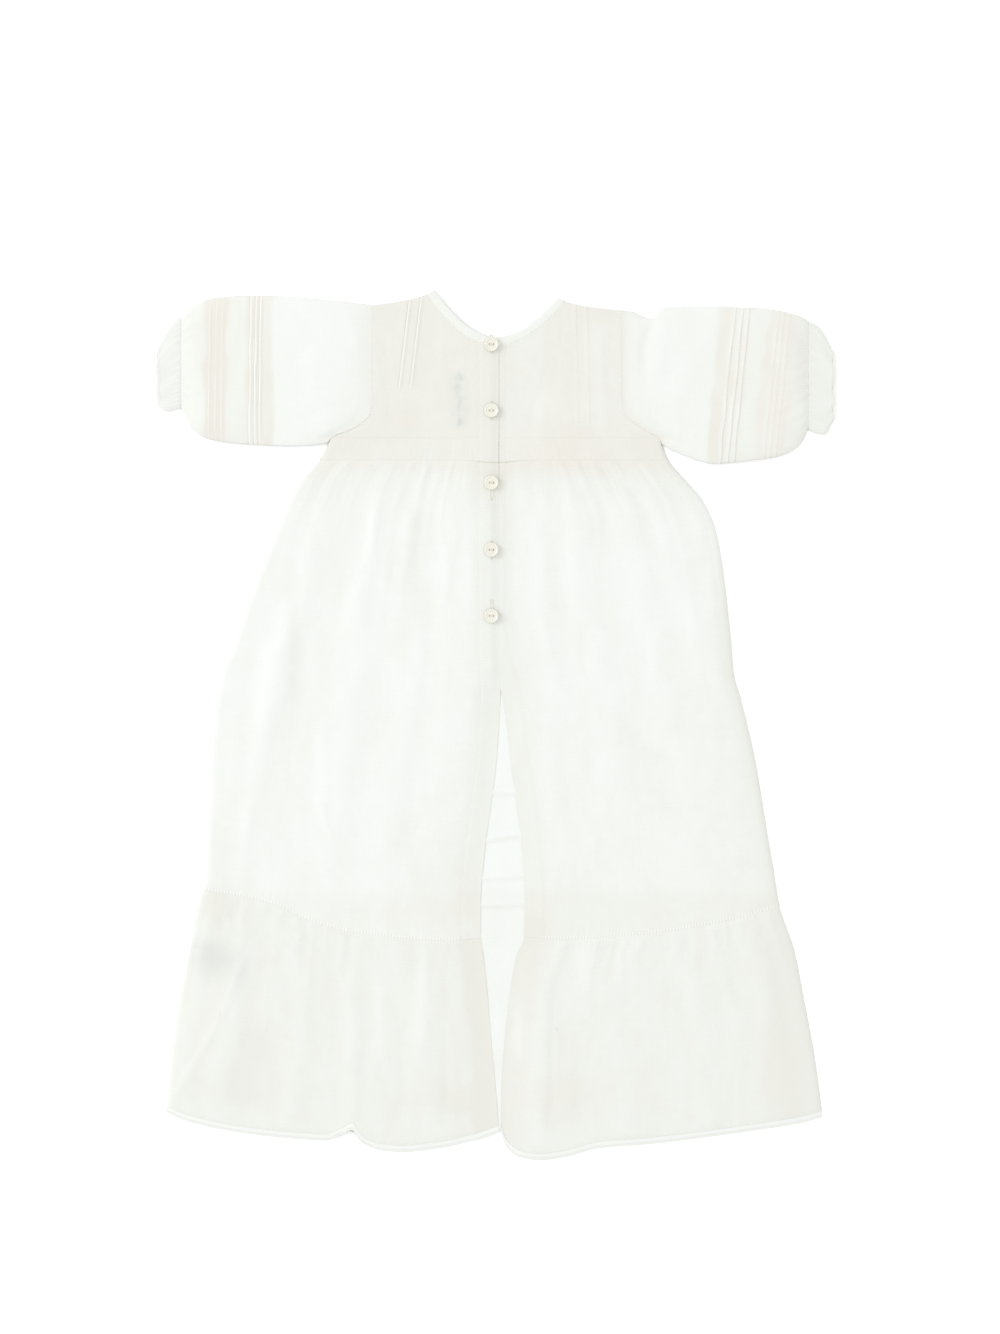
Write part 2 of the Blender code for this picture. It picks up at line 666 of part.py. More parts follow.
def bodice_back(half, material):
    """Half of the back bodice, from the placket to the armhole, with its tucks."""
    inner = beside_placket(half)(WAIST_TOP)
    outer = half.armhole[0].x - half.sign * GAP
    kept = half.sign * SHOULDER_X
    neck_x, neck_y = neck_points(half.neck_stations, BINDING_WIDTH + GAP)
    top_x = [inner, *neck_x[1:], kept, outer]
    for tuck in half.bodice_tucks:
        top_x += [tuck.x + share * TUCK_WIDTH for share in TUCK_COLUMNS]
    top_x = np.array(sorted(top_x, key=abs))
    along_neck = np.interp(np.abs(top_x), np.abs(neck_x), neck_y)
    along_shoulder = np.minimum(half.shoulder(top_x), neck_y[-1])
    top_y = np.where(np.abs(top_x) > np.abs(neck_x[-1]) + GAP, along_shoulder, along_neck)
    across = (top_x - inner) / (outer - inner)

    def straight_x(u):
        return inner + u * (outer - inner)

    def place(u, v):
        top = np.interp(u, across, top_y)
        y = top + v * (WAIST_TOP + GAP / 2 - top)
        x = straight_x(u)
        spread = (armhole(half, y) - half.sign * GAP - kept) / (outer - kept)
        x = np.where(np.abs(x) > SHOULDER_X, kept + (x - kept) * spread, x)
        away_from_seams = np.clip(4.0 * u, 0.0, 1.0) * np.clip(6.0 * (1.0 - u), 0.0, 1.0)
        return x + half.bodice_tucks[0].lean * (top - y) * away_from_seams, y

    def lower(x, y, u, v):
        return on_front(half, x, y)

    def upper(x, y, u, v):
        tucks = sum(
            tuck_wave(straight_x(u) - tuck.x) * eased((y - tuck.end) / TUCK_END)
            for tuck in half.bodice_tucks
        )
        return lower(x, y, u, v) + CLOTH + TUCK_HEIGHT * tucks

    return cloth_panel(
        f"bodice_back_{half.word}", across, BODICE_ROWS, place, lower, upper, material
    )


def neck_binding(name, stations, drop, lower, thickness, material):
    """A folded strip along the neck's edge, with a column at each station."""
    inside_x, inside_y = neck_points(stations, 0.0, drop)
    outside_x, outside_y = neck_points(stations, BINDING_WIDTH, drop)
    across = np.linspace(0.0, 1.0, len(stations))

    def place(u, v):
        x = (1 - v) * np.interp(u, across, inside_x) + v * np.interp(u, across, outside_x)
        y = (1 - v) * np.interp(u, across, inside_y) + v * np.interp(u, across, outside_y)
        return x, y

    return cloth_panel(
        name, across, [0.0, 1.0], place, lower, raised_by(lower, thickness), material
    )


def placket(half, name, lines, down, material):
    """A folded band along one edge of the back opening, between two seams."""

    def lower(x, y, u, v):
        return on_front(half, x, y)

    return cloth_panel(
        name, np.linspace(0.0, 1.0, 4), down,
        between(lambda u, y: half.opening(y) + half.sign * u * PLACKET_WIDTH, lines), lower,
        raised_by(lower, DOUBLED), material,
    )


def waistband_back(half, material):
    """Half of the back waistband, from the side to the placket."""
    lines = [Line(0.0, moved(waist_top, -GAP / 2)), Line(1.0, moved(waist_low, GAP / 2))]

    def lower(x, y, u, v):
        return resting(half, x, y)

    columns = gather_columns(half.skirt_gathers)
    return cloth_panel(
        f"waistband_back_{half.word}", np.append(columns[:1], columns[1::2]), [0.0, 0.5, 1.0],
        between(half_width(half, beside_placket(half)), lines), lower,
        raised_by(lower, CLOTH), material,
    )


def skirt_back(half, material):
    """Half of the back skirt: gathered at the waist, with soft folds down to the flounce."""
    lines = [Line(0.0, moved(waist_low, -GAP / 2)), Line(1.0, moved(flounce_seam, GAP / 2))]

    def lower(x, y, u, v):
        return folded(half, x, y, gathered(u, waist_low(x) - y, half.skirt_gathers))

    return cloth_panel(
        f"skirt_back_{half.word}", gather_columns(half.skirt_gathers), SKIRT_ROWS,
        between(half_width(half, beside_placket(half)), lines), lower,
        raised_by(lower, CLOTH), material,
    )


def flounce_back(half, material):
    """Half of the back flounce, gathered on to the skirt, down to its hem edging."""
    lines = [
        Line(0.0, moved(flounce_seam, -GAP / 2)),
        Line(FLOUNCE_TURN, lambda x: hem_turn(half, x)),
        Line(1.0, moved(half.hem, EDGING_WIDTH + GAP)),
    ]

    def lower(x, y, u, v):
        return folded(half, x, y, gathered(u, flounce_seam(x) - y, half.flounce_gathers))

    return cloth_panel(
        f"flounce_back_{half.word}", gather_columns(half.flounce_gathers), FLOUNCE_ROWS,
        between(half_width(half, half.opening), lines), lower, raised_by(lower, CLOTH),
        material,
    )


def hem_edging(half, material):
    """The narrow folded edging along the hem of one half of the back."""
    lines = [Line(0.0, moved(half.hem, EDGING_WIDTH)), Line(1.0, half.hem)]

    def lower(x, y, u, v):
        return resting(half, x, y)

    return cloth_panel(
        f"hem_edging_back_{half.word}", gather_columns(half.flounce_gathers), [0.0, 1.0],
        between(half_width(half, half.opening), lines), lower, raised_by(lower, DOUBLED),
        material,
    )


def flat_ring(a, top, bottom, height, wall):
    """A flattened ring: level underneath, gently crowned above, wall millimetres in from the
    outer face. Returns y and z at the share a of the way round, from the upper edge."""
    turn = 2 * math.pi * a
    c, s = np.cos(turn), np.sin(turn)
    half_depth, half_height = (top - bottom) / 2 - wall, height / 2 - wall
    y = (top + bottom) / 2 + half_depth * np.sign(c) * np.abs(c) ** 0.8
    crowned, flat = np.abs(s) ** 0.45, np.minimum(4.0 * np.abs(s), 1.0)
    return y, height / 2 + half_height * np.where(s >= 0, crowned, -flat)


def on_upper_side(a):
    """1 on the upper side of a flattened ring, easing to 0 at its edges and underneath."""
    return eased(2.0 * np.sin(2 * math.pi * a))


def sleeve(half, material):
    """A sleeve laid flat: a tube with two groups of three tucks standing on its upper side."""
    middles = [
        group.first - half.sign * TUCK_SPACING * k
        for group in half.sleeve_tucks
        for k in range(group.count)
    ]
    plain = {row.x for row in half.sleeve}
    stations = {x for x in plain if min(abs(x - m) for m in middles) > TUCK_WIDTH}
    stations |= {m + share * TUCK_WIDTH for m in middles for share in TUCK_COLUMNS}
    top_at, bottom_at, height_at = (
        curve(half.sleeve, "x", key) for key in ("top", "bottom", "height")
    )

    def outer(a, x):
        y, z = flat_ring(a, top_at(x), bottom_at(x), height_at(x), 0.0)
        tucks = sum(tuck_wave(x - middle) for middle in middles)
        return np.array([x, y, z + TUCK_HEIGHT * tucks * on_upper_side(a)])

    def inner(a, x):
        return np.array([x, *flat_ring(a, top_at(x), bottom_at(x), height_at(x), CLOTH)])

    return cloth_tube(
        f"sleeve_{half.word}", 12, np.array(sorted(stations)), np.array(sorted(plain)), outer,
        inner, material,
    )


def frill(half, material):
    """The ruffle past the wrist: a flat tube that waves more and more towards its edge."""
    start = half.sleeve[0].x + half.sign * GAP
    reach, low, high = half.frill[-1].out, half.sleeve[0].height, half.sleeve[1].height
    top_at, bottom_at = curve(half.frill, "out", "top"), curve(half.frill, "out", "bottom")

    def face(a, out, wall):
        spread = out / reach
        y, z = flat_ring(a, top_at(out), bottom_at(out), low + (high - low) * spread, wall)
        wave = np.sin(2 * math.pi * FRILL_WAVES * a)
        z = z + FRILL_LIFT * spread * on_upper_side(a) * (0.5 + 0.5 * wave)
        return np.array([start + half.sign * (out + FRILL_SWING * spread * wave), y, z])

    stations = np.array([0.0, 0.3, 0.65, 1.0]) * reach
    return cloth_tube(
        f"sleeve_frill_{half.word}", 4 * FRILL_WAVES, stations, stations,
        lambda a, s: face(a, s, 0.0), lambda a, s: face(a, s, CLOTH), material,
    )


def drill(x):
    """A cutter for one of the button's holes."""
    bpy.ops.mesh.primitive_cylinder_add(
        vertices=6, radius=BUTTON_HOLE / 2 * MM, depth=4 * BUTTON_HEIGHT * MM,
        location=(x * MM, 0.0, 0.0),
    )
    cutter = bpy.context.object
    cutter.name = "button_drill"
    cutter.hide_render = True
    cutter.display_type = "WIRE"
    for collection in list(cutter.users_collection):
        collection.objects.unlink(cutter)
    CUTTERS.objects.link(cutter)
    return cutter


def button_mesh(material):
    """A two-hole button: a turned profile with a rim and a dish, and two holes cut through."""
    radius = BUTTON_DIAMETER / 2
    top, dish = BUTTON_HEIGHT, BUTTON_HEIGHT - BUTTON_DISH
    profile = [
        (0.0, dish),
        (radius - BUTTON_RIM - 0.5, dish),
        (radius - BUTTON_RIM + 0.2, top),
        (radius - 0.6, top),
        (radius, top - 0.7),
        (radius, 0.6),
        (radius - 0.8, 0.0),
        (0.0, 0.0),
    ]
    bm = bmesh.new()
    points = [bm.verts.new((r * MM, 0.0, h * MM)) for r, h in profile]
    for first, second in zip(points, points[1:]):
        bm.edges.new((first, second))
    mesh = bpy.data.meshes.new("button_profile")
    bm.to_mesh(mesh)
    bm.free()
    turned = bpy.data.objects.new("button_blank", mesh)
    CUTTERS.objects.link(turned)
    screw = turned.modifiers.new("turn", "SCREW")
    screw.steps = screw.render_steps = BUTTON_STEPS
    screw.use_merge_vertices = True
    screw.merge_threshold = 0.00001
    for side in (-1, 1):
        cut = turned.modifiers.new("hole", "BOOLEAN")
        cut.operation = "DIFFERENCE"
        cut.object = drill(side * BUTTON_HOLE_SPACING / 2)
    bpy.context.view_layer.update()
    graph = bpy.context.evaluated_depsgraph_get()
    button = bpy.data.meshes.new_from_object(turned.evaluated_get(graph))
    button.name = "button"
    button.materials.clear()
    button.materials.append(material)
    bpy.data.objects.remove(turned)
    return button


def finish(name, hex_value, roughness):
    """A plain material from an sRGB colour."""
    material = bpy.data.materials.new(name)
    material.use_nodes = True
    shader = material.node_tree.nodes["Principled BSDF"]
    parts = [int(hex_value[k : k + 2], 16) / 255 for k in (0, 2, 4)]
    linear = [c / 12.92 if c <= 0.04045 else ((c + 0.055) / 1.055) ** 2.4 for c in parts]
    shader.inputs["Base Color"].default_value = (*linear, 1.0)
    shader.inputs["Roughness"].default_value = roughness
    shader.inputs["Metallic"].default_value = 0.0
    material.diffuse_color = (*linear, 1.0)
    return material


def collection(name):
    made = bpy.data.collections.new(name)
    bpy.context.scene.collection.children.link(made)
    return made


def build():
    lawn = finish("cotton lawn", "F3F3EC", 0.9)
    trim = finish("cotton lawn, folded", "F0EFE6", 0.85)
    pearl = finish("pearl button", "EFEBD6", 0.35)
    seam_above, seam_below = GAP / 2, -GAP / 2

    bodice_front(lawn)
    front_panel(
        "waistband_front", moved(waist_top, seam_below), moved(waist_low_front, seam_above),
        [0.0, 1.0], lawn,
    )
    front_panel(
        "skirt_front", moved(waist_low_front, seam_below), moved(flounce_seam, seam_above),
        SKIRT_ROWS, lawn,
    )
    front_panel(
        "flounce_front", moved(flounce_seam, seam_below),
        moved(hem_front, EDGING_WIDTH + GAP), FLOUNCE_FRONT_ROWS, lawn,
    )
    front_panel(
        "hem_edging_front", moved(hem_front, EDGING_WIDTH), hem_front, [0.0, 1.0], trim
    )
    neck_binding(
        "neck_binding_front", NECK_STATIONS_FRONT, FRONT_NECK_DROP, level(0.0), CLOTH, trim
    )

    bodice_lines = [Line(0.0, neck_seam), Line(1.0, moved(waist_low, seam_above))]
    skirt_lines = [
        Line(0.0, moved(waist_low, seam_below)),
        Line(1.0, moved(flounce_seam, seam_above)),
    ]
    for half in (LEFT, RIGHT):
        bodice_back(half, lawn)
        placket(half, f"bodice_placket_{half.word}", bodice_lines, [0.0, 0.4, 0.8, 1.0], trim)
        neck_binding(
            f"neck_binding_back_{half.word}",
            [half.opening(NECK_LOW), BINDING_MIDDLE, *half.neck_stations], 0.0,
            lambda x, y, u, v, half=half: on_front(half, x, y), DOUBLED, trim,
        )
        waistband_back(half, lawn)
        skirt_back(half, lawn)
        placket(half, f"skirt_placket_{half.word}", skirt_lines, SKIRT_ROWS, trim)
        flounce_back(half, lawn)
        hem_edging(half, trim)
        sleeve(half, lawn)
        frill(half, lawn)

    mesh = button_mesh(pearl)
    seat = BACK_REST + OVERLAP_RISE + DOUBLED + GAP
    for place, y in BUTTON_HEIGHTS.items():
        button = bpy.data.objects.new(f"button_{place}", mesh)
        button.matrix_world = Matrix.Translation((BUTTON_X * MM, y * MM, seat * MM))
        PARTS.objects.link(button)


for leftover in list(bpy.data.objects):
    bpy.data.objects.remove(leftover)
PARTS = collection("christening_dress")
CUTTERS = collection("cutters")
build()
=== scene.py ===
"""Christening dress of sheer white cotton, laid flat on its front with the back side up.

Sizes are in millimetres on the laid-out garment as seen from above: x runs to the right, y
towards the neck, and z up from the surface that it lies on. A panel is a grid of points, with
its columns running down the cloth. The grid is the cloth's upper face, and a thin wall goes
under it.
"""

import logging
import math
from collections.abc import Callable, Sequence
from dataclasses import dataclass
from enum import Enum
from typing import NamedTuple

import bmesh
import bpy
import numpy as np
from numpy.typing import NDArray
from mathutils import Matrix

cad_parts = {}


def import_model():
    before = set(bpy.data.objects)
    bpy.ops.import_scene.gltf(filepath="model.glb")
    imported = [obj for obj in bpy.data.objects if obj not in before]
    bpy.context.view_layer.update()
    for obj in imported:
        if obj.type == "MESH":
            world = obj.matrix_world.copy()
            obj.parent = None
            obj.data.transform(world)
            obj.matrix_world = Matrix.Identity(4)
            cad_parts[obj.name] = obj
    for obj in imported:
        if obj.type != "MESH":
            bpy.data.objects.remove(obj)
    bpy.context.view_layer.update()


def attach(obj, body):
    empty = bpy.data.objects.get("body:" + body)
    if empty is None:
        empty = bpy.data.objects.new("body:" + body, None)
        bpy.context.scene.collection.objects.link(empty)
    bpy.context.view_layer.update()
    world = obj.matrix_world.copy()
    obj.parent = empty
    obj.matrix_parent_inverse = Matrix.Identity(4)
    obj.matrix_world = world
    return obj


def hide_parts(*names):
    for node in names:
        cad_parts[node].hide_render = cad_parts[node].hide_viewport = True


Array = NDArray[np.float64]
Curve = Callable[[Array], Array]
XAt = Callable[[Array, Array], Array]

MM = 0.001

# Heights of upper faces above the surface
FRONT_TOP = 0.7
BACK_TOP = 2.7
EDGE_TOP = 0.6  # where a side edge or the hem comes down to the surface
OVERLAP_RISE = 1.7
SIDE_ROLL = 4.4  # the side edge is rounded down over this width

# Walls
LAWN = 0.5
FOLDED_LAWN = 0.9
NARROW_BAND = 10.0  # the width under which a band counts as narrow

# Lines of the cut
GAP = 0.3
PLACKET_WIDTH = 15.4
RISE_WIDTH = 40.0
RISE_FROM, RISE_TO = 27.0, -32.0
NECK_HALF_WIDTH = 47.6
NECK_MIDDLE = 1.2
NECK_LOW = 298.4
NECK_DEPTH_LEFT = 36.5
NECK_DEPTH_RIGHT = 31.0
NECK_POWER = 1.9
FRONT_NECK_DROP = 7.0
BINDING_WIDTH = 6.0
WAIST_TOP = 221.4
WAIST_LOW = 204.4
WAIST_DIP = 2.2
WAIST_DIP_WIDTH = 18.0
EDGING_WIDTH = 4.0
FRONT_HEM_RISE = 10.5
HEM_ROOM = 8.0
HEM_CLEAR = 1.6
OPENING_REST = 24.0
HEM_PLEAT_X = -110.1
TUCK_WIDTH = 3.6
TUCK_HEIGHT = 0.9
TUCK_END = 6.0
SHOULDER_X = 79.0
FACING_WIDTH = 14.0
FRONT_SEAM_GHOST = -125.0  # the front's flounce seam shows faintly through the back here

# Buttons
BUTTON_X = -2.7
BUTTON_SEAT = 4.6


class Side(NamedTuple):
    """A height y and the x of both outlines there."""

    y: float
    left: float
    right: float


class Seam(NamedTuple):
    """A point of a seam that is read as y of x."""

    x: float
    y: float


class Section(NamedTuple):
    """A section of a sleeve: its upper and lower edge and its height."""

    x: float
    top: float
    bottom: float
    height: float


class Frill(NamedTuple):
    """The frill's upper and lower edge this far out from the wrist seam."""

    out: float
    top: float
    bottom: float


class Fold(NamedTuple):
    """A soft ridge, or a trough where the height is below 0, from one point to another."""

    x: float
    y: float
    to_x: float
    to_y: float
    height: float
    width: float


class Shade(NamedTuple):
    """A soft patch of more or fewer plies, and along folds of painted highlight on ridges and painted
    shade in troughs.
    """

    x: float
    y: float
    reach_x: float
    reach_y: float
    dense: float
    warm: float


class Tuck(NamedTuple):
    """A tuck of the bodice: its x at the shoulder, how it leans, and the y where it ends."""

    x: float
    lean: float
    end: float


class Group(NamedTuple):
    """A group of sleeve tucks: the x of its folds, and where its doubled cloth starts and ends."""

    folds: tuple[float, ...]
    outer: float
    inner: float


def table(kind: Callable[..., NamedTuple], *rows: tuple[float, ...]) -> tuple:
    """A table: rows of numbers, in the columns that their kind names."""
    return tuple(kind(*row) for row in rows)


SKIRT_SIDES = table(
    Side,
    (221.4, -126, 126.5), (203.7, -135, 133.8), (189, -147.8, 146.3), (173.6, -157.1, 159.4),
    (154.4, -165.6, 168.6), (127.4, -176.7, 174.4), (96.6, -188.7, 178.3), (65.8, -199.4, 181.7),
    (41.2, -209.1, 183.6), (19.6, -214.1, 189.4), (-26.6, -218.7, 200.2), (-72.8, -220.2, 207.9),
    (-119, -222.5, 215.6), (-138.2, -227.9, 218.7), (-172.9, -234.9, 230.2),
    (-211.4, -242.6, 237.9), (-257.6, -249.5, 246.4), (-304, -253.6, 252.4),
)
OPENING = table(
    Side,
    (300, 3.1, -6.9), (84.3, 3.1, -6.9), (62, 3.1, -4.8), (30.4, 4.3, 3.8), (-18.9, 2, 10.8),
    (-57.4, -2.4, 16.2), (-95.9, -7.6, 20.8), (-134.4, -10.8, 23), (-163.6, -10.8, 22.3),
    (-176.7, -9.2, 16.9), (-211.4, -5.4, 10.8), (-249.9, -2.3, 6.9), (-280.7, 0.6, 4.9),
    (-313, 3, 4.6),
)
FLOUNCE_SEAM = table(
    Seam,
    (-226, -126), (-192.5, -132.1), (-169.4, -137.7), (-146.3, -148.2), (-111.7, -158.6),
    (-73.2, -163.4), (-34.7, -165.6), (-10.8, -163.8), (22.3, -162.6), (50, -164.4), (96.3, -162.1),
    (142.5, -156.7), (188.7, -147.5), (221.8, -138),
)
HEM_LEFT = table(
    Seam,
    (-253.6, -297.6), (-234.9, -305.3), (-188.7, -314.5), (-150.2, -318.4), (-130.9, -319.6),
    (-116.3, -314), (-110.1, -310.9), (-102.4, -320.7), (-88.6, -326.9), (-73.2, -328.4),
    (-42.4, -325.3), (-15.4, -319.2), (3, -313.4),
)
HEM_RIGHT = table(
    Seam,
    (4.6, -313), (8.5, -323.8), (19.3, -332.3), (34.7, -334.6), (50, -333), (80.9, -325.3),
    (119.4, -322.2), (157.9, -317.6), (196.4, -312.2), (234.9, -306.1), (252.4, -301.5),
)
SHOULDER_LEFT = table(
    Seam,
    (-96, 322.8), (-69.3, 326.9), (-57.8, 329.6), (-46.4, 334.6),
)
SHOULDER_RIGHT = table(
    Seam,
    (48.8, 329.4), (57.8, 325), (73.2, 321.9), (97.5, 319.2),
)
# The armholes, from the underarm to the shoulder
ARMHOLE_LEFT = table(
    Seam,
    (-126, 221.9), (-112.4, 227.5), (-102.4, 233.7), (-96.2, 241.4), (-94.5, 250.6), (-94.5, 326),
)
ARMHOLE_RIGHT = table(
    Seam,
    (126.5, 221.9), (115.5, 227.5), (106.4, 233.7), (99.6, 241.4), (97.4, 250.6), (97.4, 326),
)
SLEEVE_LEFT = table(
    Section,
    (-241.4, 314.2, 243.9, 3.4),
    (-236.4, 320.5, 233, 4.8),
    (-231, 323.8, 226, 5.8),
    (-221.8, 327.2, 220.8, 6.2),
    (-207.9, 329.6, 217.9, 6.2),
    (-188.7, 330.7, 216.2, 6),
    (-157.9, 329.9, 214.8, 5.2),
    (-132.5, 327.6, 216.4, 4.6),
    (-126.6, 327, 222.8, 4.4),
    (-112.8, 325.6, 228.4, 4.2),
    (-102.8, 324.4, 234.6, 4),
    (-96.6, 323.5, 242.2, 3.8),
    (-95, 323.1, 252, 3.6),
)
SLEEVE_RIGHT = table(
    Section,
    (240.9, 311, 228.2, 3.4),
    (235.6, 314.6, 217, 4.8),
    (228.7, 316.5, 211.2, 5.8),
    (219.5, 318.8, 207.2, 6.2),
    (204.1, 320.8, 204.6, 6.2),
    (184.8, 321.6, 202.3, 6),
    (169.4, 322, 201.2, 5.6),
    (157.9, 322, 203.2, 5.4),
    (142.5, 322, 209, 5.2),
    (132.2, 321.6, 214, 4.8),
    (127, 320, 222.8, 4.6),
    (121.6, 313, 225.6, 4.4),
    (115.9, 313.6, 228.5, 4.2),
    (106.8, 318, 234.7, 4),
    (100.2, 318.9, 242.4, 3.8),
    (98.4, 318.9, 252, 3.6),
)
FRILL_LEFT = table(
    Frill,
    (0, 314, 244.6), (5, 311.5, 243), (12, 303, 241.5), (18.5, 289, 246),
)
FRILL_RIGHT = table(
    Frill,
    (0, 310.8, 228.6), (6, 308.5, 224.6), (13, 300, 224), (19, 288.5, 233),
)
# Large folds that fan out from the waist and stand at the hem, and the creases between them
FOLDS_LEFT = table(
    Fold,
    (-118, 192, -186, -20, 1.6, 11),
    (-88, 196, -128, -110, 1.9, 12),
    (-60, 196, -82, -120, 1.6, 11),
    (-34, 190, -44, -90, 1.2, 9),
    (-158, 90, -196, -104, 1.7, 10),
    (-112, -186, -107, -322, 2.2, 9),
    (-150, -176, -160, -310, 1.3, 10),
    (-52, -182, -50, -322, 1.5, 11),
    (-196, -178, -214, -300, 1.4, 10),
    (-93.2, 173.6, -95.5, 127.4, 0.9, 4),
    (-52.4, 173.6, -72.4, 57.4, -0.8, 7),
    (-108.6, 104.3, -127, 10.4, 1, 9),
    (-60.1, 73.5, -61.6, 8.1, 0.8, 7),
    (-152.5, 119.7, -154.8, 4.2, -0.8, 7),
    (-173.2, 65.8, -179.4, -3.5, 1.1, 9),
    (-134, 4.2, -130.9, -80.5, 1, 6),
    (-155.5, -18.9, -155.5, -103.6, -0.7, 6),
    (-84.7, -18.9, -94.7, -66.6, 0.7, 9),
    (-28.5, -45.8, -80.9, -100.5, -0.8, 8),
    (-196.3, 19.6, -202.5, -57.4, 0.9, 7),
    (-188.7, -57.4, -191.7, -119, 0.6, 6),
    (-136.3, -54.3, -124.7, -89.7, 0.5, 2.2),
    (-188.7, -22.7, -146.3, -15, 0.3, 2),
    (-87.8, -184.4, -90.1, -265.3, 1, 7),
    (-55.4, -169, -57.8, -254.5, 1.1, 6),
    (-69.3, -226.8, -71.6, -307.6, -0.8, 6),
    (-101.6, -249.9, -103.2, -311.5, -0.8, 6),
    (-37, -192.1, -37, -307.6, -0.6, 4),
    (-142.5, -180.6, -150.2, -288.4, 0.9, 8),
    (-169.4, -165.2, -179.4, -242.2, 0.6, 5),
    (-191, -172.9, -215.6, -234.5, 0.9, 3.5),
    (-214.1, -229.8, -248.7, -288.4, 0.9, 3.5),
)
FOLDS_RIGHT = table(
    Fold,
    (87, 199, 122, 163, -0.7, 4),
    (32, 192, 46, -60, 1.3, 9),
    (58, 196, 100, -100, 1.8, 12),
    (92, 194, 152, -70, 1.6, 12),
    (116, 186, 172, 20, 1.4, 9),
    (36, -186, 32, -328, 1.6, 11),
    (92, -184, 96, -318, 1.3, 11),
    (150, -180, 166, -312, 1.5, 12),
    (206, -166, 226, -300, 1.2, 9),
    (25.4, 104.3, 58.5, 10.4, 0.8, 7),
    (67.8, 77.4, 68.5, 36.6, -0.6, 4),
    (80.9, 196.7, 113.2, 172.1, -0.9, 3.6),
    (85.5, 201.4, 120.9, 176.7, 0.5, 4),
    (75.5, 47.4, 120.9, 5.8, 0.6, 7),
    (130.1, -24.3, 147.1, -42.7, -0.5, 3),
    (91.6, -46.6, 90.1, -78.9, -0.6, 4),
    (50.1, -34.3, 54.7, -119, 0.5, 9),
    (111.7, 127.4, 133.2, 65.8, 0.5, 8),
    (157.8, 127.4, 174.8, 19.6, 0.6, 9),
    (95.5, -169.8, 97, -199.8, 0.8, 4),
    (70.1, -165.2, 71.6, -205.2, 0.9, 5),
    (43.1, -211.4, 43.9, -305.3, -0.8, 3.5),
    (21.6, -211.4, 19.2, -257.6, 0.8, 6),
    (65.5, -257.6, 73.2, -307.6, -0.6, 9),
    (127, -172.9, 133.2, -257.6, 0.7, 7),
    (161.7, -161.3, 170.2, -249.9, 0.8, 6),
    (197.9, -153.6, 208.7, -257.6, 0.8, 6),
)
BODICE_CREASES_LEFT = table(
    Fold,
    (-84.7, 304.5, -79.3, 231.4, -0.4, 4),
    (-42.4, 300.7, -33.1, 227.5, 0.5, 5),
    (-19.2, 289.1, -20.8, 227.5, -0.4, 4),
    (-51.6, 231.4, -10, 252.2, 0.4, 3),
    (-94.7, 304.5, -88.5, 266, 0.3, 3),
)
BODICE_CREASES_RIGHT = table(
    Fold,
    (19.2, 289.1, 50.1, 250.6, 0.5, 5),
    (38.5, 273.7, 26.9, 227.5, -0.4, 4),
    (79.3, 304.5, 85.5, 227.5, 0.5, 4),
    (50.1, 231.4, 80.9, 246.8, 0.3, 3),
)
SLEEVE_CREASES_LEFT = table(
    Fold,
    (-164, 312, -120, 268, 0.6, 7),
    (-150, 236, -108, 250, -0.5, 5),
    (-168, 262, -140, 300, -0.4, 6),
    (-116, 322, -104, 286, 0.5, 4),
)
SLEEVE_CREASES_RIGHT = table(
    Fold,
    (122, 317, 112, 276, -1.3, 4),
    (130, 314, 124, 268, 0.7, 5),
    (168, 306, 138, 250, 0.5, 8),
    (160, 226, 122, 246, -0.5, 5),
)
FRONT_CREASES = table(
    Fold,
    (-34.6, -52, 34.6, -51.2, 0.8, 1.6),
    (-11.6, -88.9, 26.9, -82.8, 0.9, 2),
    (-19.2, -117.4, 26.9, -115.9, 0.8, 1.8),
    (-19.2, -138.2, 30.8, -137.4, 0.8, 1.8),
    (0.8, -57.4, 3.9, -134.4, 0.4, 5),
    (7.7, 27.3, 6.2, -42, 0.5, 4),
)
# Soft tone patches: some are more or fewer plies, and the narrow ones that run along folds are painted
# highlights on the ridges and painted shade in the troughs.
SHADES_LEFT = table(
    Shade,
    (-119.4, 218.3, 12.3, 7.7, 0.5, 0.5),
    (-94.7, 222.1, 18.5, 3.1, 0.4, 0.4),
    (-68.5, 234.5, 14, 8, 0.12, 0.7),
    (-38.5, -119, 30.8, 32.3, 0.22, 0.12),
    (-53.9, -145.9, 47.7, 12.3, 0.12, 0.1),
    (-187.9, -249.9, 15.4, 20, 0.35, 0),
    (-196.3, -280.7, 26.9, 13.9, 0.35, 0),
    (-33.1, -288.4, 40, 13.9, 0.3, 0.1),
    (-5.4, -299.1, 6.9, 6.9, 0.9, 0),
    (-174.8, 27.3, 10, 30.8, -0.25, 0),
    (-133.2, -34.3, 6.2, 32.3, -0.2, 0),
    (-154, 58.1, 6.2, 46.2, 0.25, 0.1),
    (-65.5, 127.4, 6.9, 46.2, 0.2, 0.1),
    (-210.2, -95.9, 13.9, 38.5, 0.2, 0.05),
    (-214.8, -134.4, 15.4, 20, 0.4, 0.25),
    (-88.5, 318.4, 20, 6.9, 0.2, 0.2),
    (-37, 266, 9.2, 30.8, 0.1, 0.1),
    (-219.5, 65.8, 7.7, 30.8, -0.2, 0),
    (-87.8, -219.1, 6.2, 46.2, -0.25, 0),
    (-55.4, -211.4, 5.4, 38.5, -0.25, 0),
    (-108.6, 50.4, 9.2, 38.5, -0.15, 0),
    (-60.1, 42.7, 6.9, 30.8, -0.12, 0),
)
